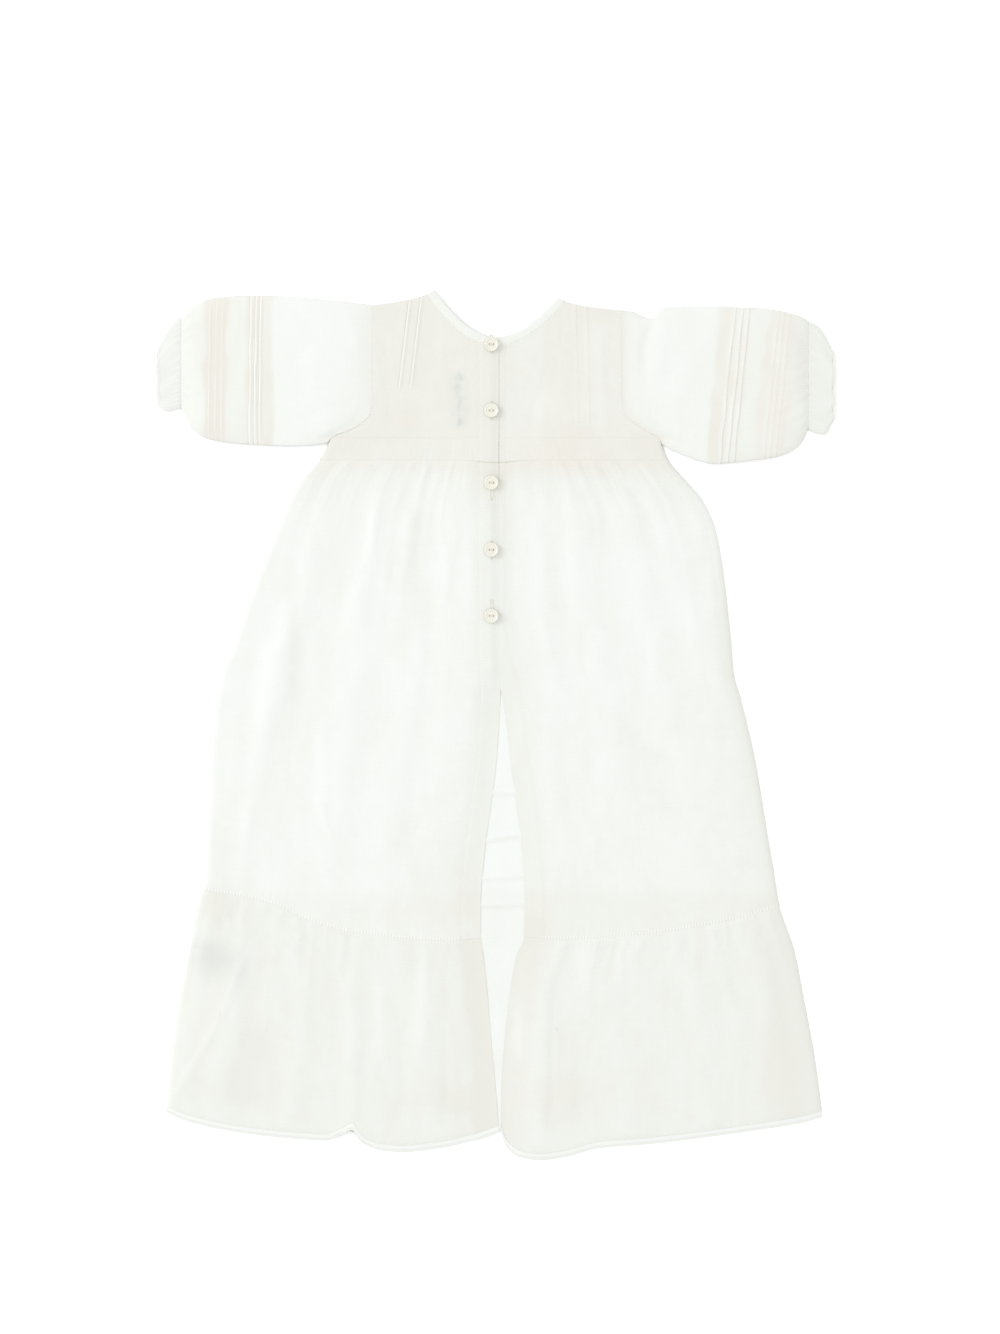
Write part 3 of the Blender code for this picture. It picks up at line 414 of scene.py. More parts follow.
SHADES_RIGHT = table(
    Shade,
    (119.4, 216, 13.9, 9.2, 0.6, 0.5),
    (46, 209, 44, 15, 0.14, 0.9),
    (56, 262, 12, 50, 0.1, 0.5),
    (67, 226, 9.2, 4.6, 0.35, 0.4),
    (38.5, 246.8, 13.9, 12.3, -0.25, 0),
    (223.3, -257.6, 15.4, 47.7, 0.5, 0.2),
    (211.8, -176.7, 13.9, 30.8, 0.3, 0),
    (29.3, -157.5, 9.2, 8.5, 0.5, 0.4),
    (56.2, -282.2, 30.8, 18.5, 0.2, 0.3),
    (127, -26.6, 10.8, 7.7, 0.1, 0.1),
    (90.1, -62, 6.2, 18.5, 0.15, 0.1),
    (80.9, 318.4, 20, 6.9, 0.25, 0.2),
    (30.8, 127.4, 7.7, 46.2, -0.15, 0),
    (59.3, 19.6, 10.8, 23.1, -0.12, 0),
    (16.2, -234.5, 6.9, 30.8, -0.25, 0),
    (96.2, -188.3, 6.2, 18.5, -0.2, 0),
    (71.6, -184.4, 6.2, 21.6, -0.2, 0),
    (123.2, 81.2, 46.2, 69.3, -0.08, -0.1),
    (157.8, 196.7, 10.8, 23.1, 0.15, 0.2),
)
# The flounce's left corner is turned over along this line, which is read as x of y
CORNER_FOLD = table(
    Seam,
    (-190, -172.9), (-202.5, -188.3), (-215.6, -234.5), (-231, -269.1), (-248.7, -288.4),
)
# A faded pencil squiggle on the left half of the bodice, read as x of y
SQUIGGLE = table(
    Seam,
    (-28.5, 227.5), (-26.9, 235.2), (-29.3, 242.9), (-26.2, 250.6), (-30, 258.3), (-26.2, 266),
    (-28.5, 273.7),
)


def eased(share: Array) -> Array:
    """Goes from 0 to 1 with a level start and end: 3 s squared less 2 s cubed."""
    share = np.clip(share, 0.0, 1.0)
    return share * share * (3.0 - 2.0 * share)


def bump_over(distance: Array, width: float) -> Array:
    """A bell, e to the minus (distance over width) squared."""
    return np.exp(-((distance / width) ** 2))


def smooth(at: Array, known: Sequence[float], values: Sequence[float]) -> Array:
    """A curve through known points that never swings past them.

    Each span is a cubic whose slopes at its ends are the weighted harmonic mean of the slopes on
    both sides, or 0 where those turn round.

    Args:
        at: where the curve is read.
        known: the places of the points, all rising or all falling.
        values: the curve's values there.

    Returns:
        The curve's values, held level outside the known places.
    """
    x, y = np.asarray(known, float), np.asarray(values, float)
    if x[0] > x[-1]:
        x, y = x[::-1], y[::-1]
    step = np.diff(x)
    slope = np.diff(y) / step
    tangent = np.zeros(len(x))
    tangent[0], tangent[-1] = slope[0], slope[-1]
    before, after = slope[:-1], slope[1:]
    same_way = before * after > 0
    weight_a, weight_b = 2 * step[1:] + step[:-1], step[1:] + 2 * step[:-1]
    inner = (weight_a + weight_b)[same_way] / (
        weight_a[same_way] / before[same_way] + weight_b[same_way] / after[same_way]
    )
    tangent[1:-1][same_way] = inner
    at = np.clip(at, x[0], x[-1])
    k = np.clip(np.searchsorted(x, at, side="right") - 1, 0, len(step) - 1)
    t, h = (at - x[k]) / step[k], step[k]
    return (
        (2 * t**3 - 3 * t**2 + 1) * y[k]
        + (t**3 - 2 * t**2 + t) * h * tangent[k]
        + (3 * t**2 - 2 * t**3) * y[k + 1]
        + (t**3 - t**2) * h * tangent[k + 1]
    )


def curve(rows: Sequence[NamedTuple], along: str, key: str) -> Curve:
    """A smooth function through a table.

    Args:
        rows: the table's rows.
        along: the column that the function is read by.
        key: the column that it gives.

    Returns:
        The function.
    """
    known = [getattr(row, along) for row in rows]
    values = [getattr(row, key) for row in rows]
    return lambda at: smooth(at, known, values)


def cloud(x: Array, y: Array, size_x: float, size_y: float, seed: int) -> Array:
    """Uneven smooth noise from -1 to 1.

    Seeded numbers stand on a lattice and are eased into each other, along x and then along y.

    Args:
        x: places across.
        y: places along.
        size_x: the lattice's step across.
        size_y: the lattice's step along.
        seed: which numbers are drawn.

    Returns:
        The noise at those places.
    """
    drawn = np.random.default_rng(seed).uniform(-1.0, 1.0, (61, 61))
    across, along = np.asarray(x, float) / size_x, np.asarray(y, float) / size_y
    i, j = np.floor(across).astype(int), np.floor(along).astype(int)
    u, v = eased(across - i), eased(along - j)
    near = drawn[i % 61, j % 61] * (1 - u) + drawn[(i + 1) % 61, j % 61] * u
    far = drawn[i % 61, (j + 1) % 61] * (1 - u) + drawn[(i + 1) % 61, (j + 1) % 61] * u
    return near * (1 - v) + far * v


def crumple(x: Array, y: Array, size: float, seed: int) -> Array:
    """Soft creases in three directions.

    Each direction takes noise that is long one way. 1 less its absolute value, to the fourth
    power, leaves a thin crest where the noise crosses 0.

    Args:
        x: places across.
        y: places along.
        size: about how far apart the creases are.
        seed: which creases are drawn.

    Returns:
        Heights, about 0 to 1.
    """
    height = np.zeros(np.shape(x))
    for k, angle in enumerate((1.35, 0.5, 2.5)):
        across = x * math.cos(angle) + y * math.sin(angle)
        along = y * math.cos(angle) - x * math.sin(angle)
        noise = cloud(along, across, size, 2.6 * size, seed + k)
        height += (1.0 - np.abs(noise)) ** 4 * (0.6 + 0.4 * cloud(x, y, 60.0, 60.0, seed + 9 + k))
    return height / 3.0


def ridge(x: Array, y: Array, fold: Fold) -> Array:
    """The height of one fold.

    It is a bell across a line that wanders a little, widens from its first end to its last, and
    fades at both.

    Args:
        x: places across.
        y: places along.
        fold: the fold.

    Returns:
        Its height at those places.
    """
    along_x, along_y = fold.to_x - fold.x, fold.to_y - fold.y
    length = math.hypot(along_x, along_y)
    share = ((x - fold.x) * along_x + (y - fold.y) * along_y) / length**2
    aside = ((x - fold.x) * along_y - (y - fold.y) * along_x) / length
    aside = aside + 0.35 * fold.width * cloud(share * length, share, 22.0, 1.0, int(abs(fold.x)) + 7)
    ends = eased(4.0 * share + 0.35) * eased(3.8 - 3.3 * share)
    return fold.height * bump_over(aside, fold.width * (0.75 + 0.35 * np.clip(share, 0, 1))) * ends


def folds_at(x: Array, y: Array, folds: Sequence[Fold]) -> Array:
    """The heights of several folds, added up."""
    return sum((ridge(x, y, fold) for fold in folds), np.zeros(np.shape(x)))


class Gathering(NamedTuple):
    """Gathers of one size: how many, their height, how far they reach, and their seed."""

    count: int
    height: float
    reach: float
    seed: int


def gathers(share: Array, depth: Array, gathering: Gathering, seed: int) -> Array:
    """Heights of gathers that rise just past a seam and fade away.

    The width is cut at uneven shares. Between two cuts stands a raised cosine, sharpened by a
    power, with its own height and reach, and its line wanders as it leaves the seam.

    Args:
        share: places along the seam, from 0 to 1.
        depth: distance past the seam.
        gathering: the gathers' count, height, reach and seed.
        seed: what is added to their seed.

    Returns:
        The heights.
    """
    seed += gathering.seed
    random = np.random.default_rng(seed)
    widths = random.uniform(0.55, 1.45, gathering.count)
    bounds = np.append(0.0, np.cumsum(widths) / widths.sum())
    wander = cloud(share * gathering.count, depth, 1.3, 0.35 * gathering.reach, seed + 1)
    place = np.clip(share + 0.3 / gathering.count * wander * eased(depth / 9.0), 0.0, 1.0)
    k = np.clip(np.searchsorted(bounds, place, side="right") - 1, 0, gathering.count - 1)
    wave = 0.5 - 0.5 * np.cos(2 * math.pi * (place - bounds[k]) / (bounds[k + 1] - bounds[k]))
    own_height = random.uniform(0.4, 1.0, gathering.count)[k]
    own_reach = gathering.reach * random.uniform(0.45, 1.5, gathering.count)[k]
    fade = eased(depth / 3.5) * np.exp(-((np.maximum(depth, 0.0) / own_reach) ** 2))
    return gathering.height * wave**1.3 * own_height * fade


SKIRT_GATHERS = table(
    Gathering, (38, 0.08, 12.0, 21), (21, 0.17, 38.0, 22), (9, 0.6, 130.0, 23)
)
FLOUNCE_GATHERS = table(
    Gathering, (34, 0.25, 11.0, 41), (15, 0.5, 42.0, 42), (7, 0.7, 120.0, 43)
)
# What the seams pucker above them
ABOVE_WAIST_GATHERS = table(Gathering, (30, 0.15, 15.0, 3))
ABOVE_FLOUNCE_GATHERS = table(Gathering, (30, 0.2, 9.0, 4))
WRIST_GATHERS = table(Gathering, (24, 0.35, 10.0, 60), (10, 0.5, 30.0, 61))
ARMHOLE_GATHERS = table(Gathering, (9, 0.2, 16.0, 62))

flounce_seam = curve(FLOUNCE_SEAM, "x", "y")
corner_fold = curve(CORNER_FOLD, "y", "x")
squiggle = curve(SQUIGGLE, "y", "x")
hem_front_line = curve(
    [row for row in HEM_LEFT + HEM_RIGHT if abs(row.x - HEM_PLEAT_X) > 10 and abs(row.x) > 6],
    "x",
    "y",
)


def hem_front(x: Array) -> Array:
    """The height of the front's hem, a little above the back's."""
    return hem_front_line(x) + FRONT_HEM_RISE


def waist_top(x: Array) -> Array:
    """The seam between bodice and waistband."""
    return np.full(np.shape(x), WAIST_TOP)


def waist_low(x: Array) -> Array:
    """The seam between waistband and skirt, which sags a little at the opening."""
    return WAIST_LOW - WAIST_DIP * bump_over(np.asarray(x, float), WAIST_DIP_WIDTH)


def neck_points(x: Array, offset: Array | float, drop: float = 0.0) -> tuple[Array, Array]:
    """The neck's edge, moved into the cloth.

    The edge rises from its middle by a power of the distance, and each point goes along the
    edge's own normal.

    Args:
        x: places along the edge.
        offset: how far the points move into the cloth.
        drop: how much lower the whole scoop lies, with the same tips.

    Returns:
        x and y of the moved points.
    """
    x = np.asarray(x, float)
    side = np.where(x < NECK_MIDDLE, -1.0, 1.0)
    depth = np.where(x < NECK_MIDDLE, NECK_DEPTH_LEFT, NECK_DEPTH_RIGHT) + drop
    share = np.abs(x - NECK_MIDDLE) / NECK_HALF_WIDTH
    rise = depth * NECK_POWER * share ** (NECK_POWER - 1) / NECK_HALF_WIDTH
    length = np.sqrt(1 + rise**2)
    y = NECK_LOW - drop + depth * share**NECK_POWER
    return x + side * offset * rise / length, y - offset / length


def neck_seam(x: Array, drop: float = 0.0) -> Array:
    """The seam under the neck's binding.

    Args:
        x: places across.
        drop: how much lower the scoop lies, as on the front.

    Returns:
        y of the seam.
    """
    edge = np.linspace(NECK_MIDDLE - NECK_HALF_WIDTH, NECK_MIDDLE + NECK_HALF_WIDTH, 400)
    known_x, known_y = neck_points(edge, BINDING_WIDTH + GAP / 2, drop)
    return np.interp(x, known_x, known_y)


class Tones(NamedTuple):
    """How dense the cloth looks, part by part."""

    bodice: float
    skirt: float
    flounce: float
    above_flounce: float
    sleeve: float
    between_tucks: float
    frill: float


@dataclass(frozen=True)
class Half:
    """The lines of one half of the back and its sleeve, from the tables, and its tones."""

    word: str
    sign: float
    hem_rows: tuple[Seam, ...]
    shoulder_rows: tuple[Seam, ...]
    armhole_rows: tuple[Seam, ...]
    tucks: tuple[Tuck, ...]
    folds: tuple[Fold, ...]
    bodice_creases: tuple[Fold, ...]
    shades: tuple[Shade, ...]
    sleeve: tuple[Section, ...]
    sleeve_tucks: tuple[Group, ...]
    sleeve_creases: tuple[Fold, ...]
    frill: tuple[Frill, ...]
    sleeve_lean: float
    tones: Tones
    seed: int

    def side(self, y: Array) -> Array:
        """x of the outline below the waist."""
        return curve(SKIRT_SIDES, "y", self.word)(y)

    def opening(self, y: Array) -> Array:
        """x of the free edge at the back opening."""
        return curve(OPENING, "y", self.word)(y)

    def placket_seam(self, y: Array) -> Array:
        """x of the seam between the placket and the panel beside it."""
        return self.opening(y) + self.sign * (PLACKET_WIDTH + GAP / 2)

    def hem(self, x: Array) -> Array:
        """y of the hem."""
        return curve(self.hem_rows, "x", "y")(x)

    def hem_turn(self, x: Array) -> Array:
        """y at which the back comes off the front's hem and turns down."""
        return np.maximum(hem_front(x) - HEM_CLEAR, self.hem(x) + EDGING_WIDTH + 2 * GAP)

    def armhole(self, y: Array) -> Array:
        """x of the seam between sleeve and bodice."""
        rows = self.armhole_rows
        return np.interp(y, [row.y for row in rows], [row.x for row in rows])

    def widened(self, straight: Array, y: Array) -> Array:
        """x of a bodice's columns, which spread out towards the armhole past the shoulder.

        Args:
            straight: their x where they start.
            y: places along them.

        Returns:
            Their x at those places.
        """
        kept, end = self.sign * SHOULDER_X, self.armhole_rows[-1].x
        spread = (self.armhole(y) - kept) / (end - kept)
        return np.where(self.sign * straight > SHOULDER_X, kept + (straight - kept) * spread, straight)

    def shoulder(self, x: Array) -> Array:
        """y of the shoulder seam."""
        return curve(self.shoulder_rows, "x", "y")(x)

    def bodice_top(self, x: Array, drop: float = 0.0) -> Array:
        """y of the bodice's upper edge: the binding's seam, and past it the shoulder.

        Args:
            x: places across.
            drop: how much lower the neck lies, as on the front.

        Returns:
            The edge's heights.
        """
        tip_x, tip_y = neck_points(
            np.array(NECK_MIDDLE + self.sign * NECK_HALF_WIDTH), BINDING_WIDTH + GAP / 2, drop
        )
        past = np.minimum(self.shoulder(x), tip_y)
        return np.where(np.abs(x) > abs(tip_x), past, neck_seam(x, drop))


LEFT = Half(
    word="left",
    sign=-1.0,
    hem_rows=HEM_LEFT,
    shoulder_rows=SHOULDER_LEFT,
    armhole_rows=ARMHOLE_LEFT,
    tucks=(Tuck(-55.4, -0.12, 256.8), Tuck(-64.4, -0.12, 256.8)),
    folds=FOLDS_LEFT,
    bodice_creases=BODICE_CREASES_LEFT,
    shades=SHADES_LEFT,
    sleeve=SLEEVE_LEFT,
    sleeve_tucks=(
        Group((-218.7, -213.7, -209.0), -222.5, -205.2),
        Group((-187.2, -183.3, -179.9), -193.4, -170.4),
    ),
    sleeve_creases=SLEEVE_CREASES_LEFT,
    frill=FRILL_LEFT,
    sleeve_lean=0.012,
    tones=Tones(0.78, 0.2, 0.36, 0.1, 0.14, 0.34, 0.34),
    seed=100,
)
RIGHT = Half(
    word="right",
    sign=1.0,
    hem_rows=HEM_RIGHT,
    shoulder_rows=SHOULDER_RIGHT,
    armhole_rows=ARMHOLE_RIGHT,
    tucks=(Tuck(60.6, 0.02, 228.0), Tuck(69.2, 0.02, 228.0)),
    folds=FOLDS_RIGHT,
    bodice_creases=BODICE_CREASES_RIGHT,
    shades=SHADES_RIGHT,
    sleeve=SLEEVE_RIGHT,
    sleeve_tucks=(
        Group((220.6, 216.2, 211.8), 228.0, 205.5),
        Group((189.0, 184.4, 178.4), 194.0, 168.0),
    ),
    sleeve_creases=SLEEVE_CREASES_RIGHT,
    frill=FRILL_RIGHT,
    sleeve_lean=0.1,
    tones=Tones(0.68, 0.27, 0.26, 0.22, 0.26, 0.2, 0.78),
    seed=200,
)


FAR = 9.0  # a distance past which no seam or stitch shows


class Looks(NamedTuple):
    """How a sheet is dressed at each of its points.

    dense and warm go from 0, a single cool white ply, to 1, many creamy plies, and dense also
    carries painted highlights and painted shade on folds and tucks. seam and stitch are distances
    in millimetres from the nearest seam and row of stitches, run the distance along it, and stain
    from 0 to 1. A seam shows as a dark line within a millimetre, so a faint one has the better part
    of a millimetre added to its distance. seam also measures from painted shadow lines beside tucks,
    along the opening's edge and in the waist seam's crease.
    """

    dense: Array
    warm: Array
    seam: Array
    stitch: Array
    run: Array
    stain: Array


def plain_looks(x: Array, y: Array, dense: float, warm: float) -> Looks:
    """Looks without a seam, stitches or a stain.

    Args:
        x: places across, for the grid's shape.
        y: places along, for the distance along the stitches.
        dense: how dense the plies are.
        warm: how creamy they are.

    Returns:
        The looks.
    """
    far = np.full(np.shape(x), 50.0)
    level = np.ones(np.shape(x))
    mottled = 0.12 * cloud(x, y, 17.0, 26.0, 61)
    return Looks(dense * level + mottled, warm * level, far, far, np.asarray(y, float), 0.0 * level)


def nearest(*distances: Array) -> Array:
    """The smallest of several distances at each point."""
    return np.minimum.reduce([np.abs(distance) for distance in distances])


def run_lengths(points: Array, axis: int) -> Array:
    """Shares of the way along the middle line of a grid, by real length.

    Args:
        points: the grid, as (3, rows, columns).
        axis: 1 for the rows' way, 2 for the columns' way.

    Returns:
        Shares from 0 to 1, one for each row or column.
    """
    middle = points.shape[3 - axis] // 2
    line = points[:, :, middle] if axis == 1 else points[:, middle, :]
    step = np.sqrt((np.diff(line, axis=1) ** 2).sum(axis=0))
    return np.append(0.0, np.cumsum(step) / max(step.sum(), 1e-9))


def corners(grid: Array) -> Array:
    """A grid's values at the four corners of each quad, as (quads, 4)."""
    left, right = grid[:, :-1], grid[:, 1:]
    return np.stack([left[:-1], left[1:], right[1:], right[:-1]], axis=-1).reshape(-1, 4)


def placed(name: str, data: bpy.types.ID) -> bpy.types.Object:
    """Puts a new object into the scene.

    Args:
        name: its name.
        data: its mesh, camera or light.

    Returns:
        The object, at the origin.
    """
    made = bpy.data.objects.new(name, data)
    bpy.context.scene.collection.objects.link(made)
    return made


@dataclass
class Sheet:
    """One sheet of cloth: a grid of points for its upper face, with a thin wall under it.

    node is the node that it stands for, cut its flat width and length, and rests_on names the
    nodes that it lies on.
    """

    node: str
    grid: tuple[Array, Array, Array]
    cut: tuple[float, float]
    looks: Looks
    folded: bool = False
    rests_on: tuple[str, ...] = ()
    wall: float = LAWN
    round_about: bool = False

    def build(self) -> bpy.types.Object:
        """Makes the mesh, its map in the cut's own metres, its looks and its wall.

        A sheet that goes all the way round meets itself at its first column.

        Returns:
            The object, at the origin.
        """
        name, points = f"{self.node}_cloth", np.stack(self.grid)
        places = points.reshape(3, -1).T * MM
        index = np.arange(len(places)).reshape(points.shape[1:])
        around = index
        if self.round_about:
            around = np.concatenate([index, index[:, :1]], axis=1)
            points = np.concatenate([points, points[:, :, :1]], axis=2)
        quads = corners(around)
        across, down = run_lengths(points, 2), run_lengths(points, 1)
        u = corners(np.broadcast_to(across * self.cut[0] * MM, points.shape[1:]))
        v = corners(np.broadcast_to(-down[:, None] * self.cut[1] * MM, points.shape[1:]))
        first, second, third = (places[quads[:, k]] for k in range(3))
        normal = np.cross(second - first, third - first)
        if self.round_about:
            outward = (normal * (first - places.mean(axis=0))).sum()
        else:
            outward = normal[:, 2].sum()
        if outward < 0:
            quads, u, v = quads[:, ::-1], u[:, ::-1], v[:, ::-1]
        mesh = bpy.data.meshes.new(name)
        mesh.from_pydata(places, [], quads)
        layer = mesh.uv_layers.new(name="cut")
        layer.data.foreach_set("uv", np.stack([u, v], axis=-1).astype(np.float32).ravel())
        for key, values in self.looks._asdict().items():
            attribute = mesh.attributes.new(key, "FLOAT", "POINT")
            attribute.data.foreach_set("value", np.asarray(values, np.float32).ravel())
        mesh.materials.append(Materials.of(Finish.FOLDED if self.folded else Finish.LAWN))
        mesh.shade_smooth()
        border = np.zeros(len(places), bool)
        border[index[[0, -1]].ravel()] = True
        if not self.round_about:
            border[index[:, [0, -1]].ravel()] = True
        ends = np.empty(len(mesh.edges) * 2, np.int32)
        mesh.edges.foreach_get("vertices", ends)
        sharp = mesh.attributes.new("sharp_edge", "BOOLEAN", "EDGE")
        sharp.data.foreach_set("value", border[ends.reshape(-1, 2)].all(axis=1))
        made = placed(name, mesh)
        under = made.modifiers.new("cloth wall", "SOLIDIFY")
        under.thickness, under.offset = self.wall * MM, -1.0
        return made

    def declare(self, made: bpy.types.Object, with_pieces: Sequence[bpy.types.Object]) -> None:
        """Puts the finished sheet in its node's place and hides that node's part.

        Args:
            made: the finished sheet.
            with_pieces: the narrow bands along it.
        """
        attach(made, "root")
        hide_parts(self.node)
        if min(self.cut) >= NARROW_BAND:
            list(self.rests_on)
            list(with_pieces)


def linear(hex_value: str) -> tuple[float, float, float, float]:
    """An sRGB hex colour as linear red, green and blue, with full alpha.

    Args:
        hex_value: six hex digits.

    Returns:
        The four numbers.
    """
    parts = [int(hex_value[k : k + 2], 16) / 255 for k in (0, 2, 4)]
    lit = [c / 12.92 if c <= 0.04045 else ((c + 0.055) / 1.055) ** 2.4 for c in parts]
    return (lit[0], lit[1], lit[2], 1.0)


def feed(tree: bpy.types.NodeTree, node: bpy.types.Node, links: dict) -> None:
    """Gives a node's inputs what feeds them.

    Args:
        tree: the material's nodes.
        node: the node.
        links: for each input, the socket that feeds it or its own value.
    """
    for key, value in links.items():
        if isinstance(value, bpy.types.NodeSocket):
            tree.links.new(value, node.inputs[key])
        else:
            node.inputs[key].default_value = value


def add(
    tree: bpy.types.NodeTree, kind: str, settings: dict, links: dict, out: int | str = 0
) -> bpy.types.NodeSocket:
    """Adds a node.

    Args:
        tree: the material's nodes.
        kind: the node's type, without the words that every type starts with.
        settings: its properties by name.
        links: for each input, the socket that feeds it or its own value.
        out: the output that is wanted.

    Returns:
        That output.
    """
    node = tree.nodes.new(f"ShaderNode{kind}")
    for key, value in settings.items():
        setattr(node, key, value)
    feed(tree, node, links)
    return node.outputs[out]


def blank(name: str) -> tuple[bpy.types.Material, bpy.types.NodeTree, bpy.types.Node]:
    """A new material with its shader alone.

    Args:
        name: the material's name.

    Returns:
        The material, its nodes and its shader.
    """
    material = bpy.data.materials.new(name)
    material.use_nodes = True
    tree = material.node_tree
    return material, tree, tree.nodes["Principled BSDF"]


def waves_per_metre(period: float) -> float:
    """The scale at which a band texture repeats every so many millimetres."""
    return math.pi / 10.0 / (period * MM)


# Settings that several nodes share
COLOURS = {"data_type": "RGBA"}
MIXED = 2  # the output of a Mix node that holds its colour
CLAMPED = {"use_clamp": True}
SOFT_STEP = {"interpolation_type": "SMOOTHSTEP"}
SUM_OF_SHARES = {"operation": "MULTIPLY_ADD"}


@dataclass(frozen=True)
class WovenCotton:
    """Plain-woven cotton lawn: matt, a little fuzzy, and so sheer that its tone says how many
    plies lie over each other; the same tone also carries painted highlights and painted shade."""

    name: str
    cool_light: str = "DADDDA"
    cool_dark: str = "D0D2CC"
    warm_light: str = "DADBD6"
    warm_dark: str = "D2CFC7"
    seam_and_shadow_line_colour: str = "B8B6AB"
    stitch_colour: str = "E4E4DE"
    stain_colour: str = "BAC0BC"
    # The real threads stand about 0.3 mm apart, too fine to show, so they are drawn at 0.7 mm
    thread: float = 0.7
    # A thicker thread shows for about 40 mm, and the next one is about a millimetre away
    slub_stretch: tuple[float, float] = (26.0, 900.0)
    stitch_length: float = 2.4
    roughness: float = 0.86
    roughness_play: float = 0.06
    mottle_scale: float = 150.0
    crease_scale: float = 70.0
    crease_depth: float = 0.35
    weave_depth: float = 0.08
    slub_depth: float = 0.2
    stitch_depth: float = 0.3
    relief: float = 0.0004  # metres for a height of 1
    sheen: float = 0.12

    def material(self) -> bpy.types.Material:
        """Makes the material from the sheet's own attributes and its map.

        The colour mixes four whites by dense and warm, which also carry painted highlights and painted
        shade, with thicker threads drawn as long thin noise, a darker line on each seam and on each
        painted shadow line, stitches as dashes, and the stain. The relief adds the weave, fine creases
        and the stitches.

        Returns:
            The material.
        """
        material, tree, shader = blank(self.name)
        cut = add(tree, "UVMap", {"uv_map": "cut"}, {})
        read = {
            key: add(tree, "Attribute", {"attribute_name": key}, {}, "Fac") for key in Looks._fields
        }
        slubs = []
        long, close = self.slub_stretch
        for stretch in ((close, long, 1.0), (long, close, 1.0)):
            drawn = add(tree, "VectorMath", {"operation": "MULTIPLY"}, {0: cut, 1: stretch})
            slubs.append(add(tree, "TexNoise", {}, {"Vector": drawn, "Scale": 1.0}))
        slub = add(tree, "Math", {"operation": "ADD"}, dict(enumerate(slubs)))
        mottle = add(tree, "TexNoise", {}, {"Vector": cut, "Scale": self.mottle_scale, "Detail": 3.0})
        uneven = -0.26
        for part, share in ((slub, 0.26), (mottle, 0.14)):
            uneven = add(tree, "Math", SUM_OF_SHARES, {0: part, 1: share, 2: uneven})
        dense = read["dense"]
        for part in (uneven, -0.07):
            dense = add(tree, "Math", {"operation": "ADD", **CLAMPED}, {0: dense, 1: part})
        cool, warm = (
            add(tree, "Mix", COLOURS, {0: dense, 6: linear(light), 7: linear(dark)}, MIXED)
            for light, dark in (
                (self.cool_light, self.cool_dark), (self.warm_light, self.warm_dark)
            )
        )
        cloth = add(tree, "Mix", COLOURS, {0: read["warm"], 6: cool, 7: warm}, MIXED)
        on_seam_and_shadow_line, in_row = (
            add(tree, "MapRange", SOFT_STEP, {0: read[key], 1: near, 2: far, 3: full, 4: 0.0})
            for key, near, far, full in (("seam", 0.1, 1.15, 0.75), ("stitch", 0.2, 0.55, 1.0))
        )
        beats = 2.0 * math.pi / self.stitch_length
        beat = add(tree, "Math", {"operation": "MULTIPLY"}, {0: read["run"], 1: beats})
        beat = add(tree, "Math", {"operation": "SINE"}, {0: beat})
        dash = add(tree, "MapRange", SOFT_STEP, {0: beat, 1: -0.5, 2: 0.1, 3: 0.0, 4: 1.0})
        stitches = add(tree, "Math", {"operation": "MULTIPLY"}, {0: in_row, 1: dash})
        gaps = add(tree, "Math", {"operation": "SUBTRACT", **CLAMPED}, {0: in_row, 1: stitches})
        between, drawn = (
            add(tree, "Math", {"operation": "MULTIPLY"}, {0: part, 1: strength})
            for part, strength in ((gaps, 0.12), (stitches, 0.45))
        )
        # The seam lines here also draw painted shadow lines beside tucks, along the opening's edge and
        # in the waist seam's crease.
        for share, colour in (
            (on_seam_and_shadow_line, self.seam_and_shadow_line_colour), (read["stain"], self.stain_colour),
            (between, self.seam_and_shadow_line_colour), (drawn, self.stitch_colour),
        ):
            cloth = add(tree, "Mix", COLOURS, {0: share, 6: cloth, 7: linear(colour)}, MIXED)

        threads = [
            add(
                tree, "TexWave",
                {"wave_type": "BANDS", "bands_direction": way, "wave_profile": "SIN"},
                {
                    "Vector": cut, "Scale": waves_per_metre(self.thread), "Distortion": 0.6,
                    "Detail": 1.0, "Detail Scale": 0.4,
                },
                "Fac",
            )
            for way in ("X", "Y")
        ]
        weave = add(tree, "Math", {"operation": "MAXIMUM"}, dict(enumerate(threads)))
        creased = add(
            tree, "TexNoise", {"noise_type": "RIDGED_MULTIFRACTAL"},
            {"Vector": cut, "Scale": self.crease_scale, "Detail": 3.0, "Roughness": 0.45},
        )
        height = 0.0
        for part, share in (
            (creased, self.crease_depth), (weave, self.weave_depth),
            (slub, self.slub_depth), (stitches, self.stitch_depth),
        ):
            height = add(tree, "Math", SUM_OF_SHARES, {0: part, 1: share, 2: height})
        smoothest = self.roughness - self.roughness_play
        roughest = self.roughness + self.roughness_play
        feed(tree, shader, {
            "Base Color": cloth,
            "Normal": add(
                tree, "Bump", {}, {"Height": height, "Strength": 0.8, "Distance": self.relief}
            ),
            "Roughness": add(
                tree, "MapRange", {}, {0: mottle, 1: 0.3, 2: 0.7, 3: smoothest, 4: roughest}
            ),
            "Sheen Weight": self.sheen, "Sheen Roughness": 0.5, "Specular IOR Level": 0.15,
        })
        return material


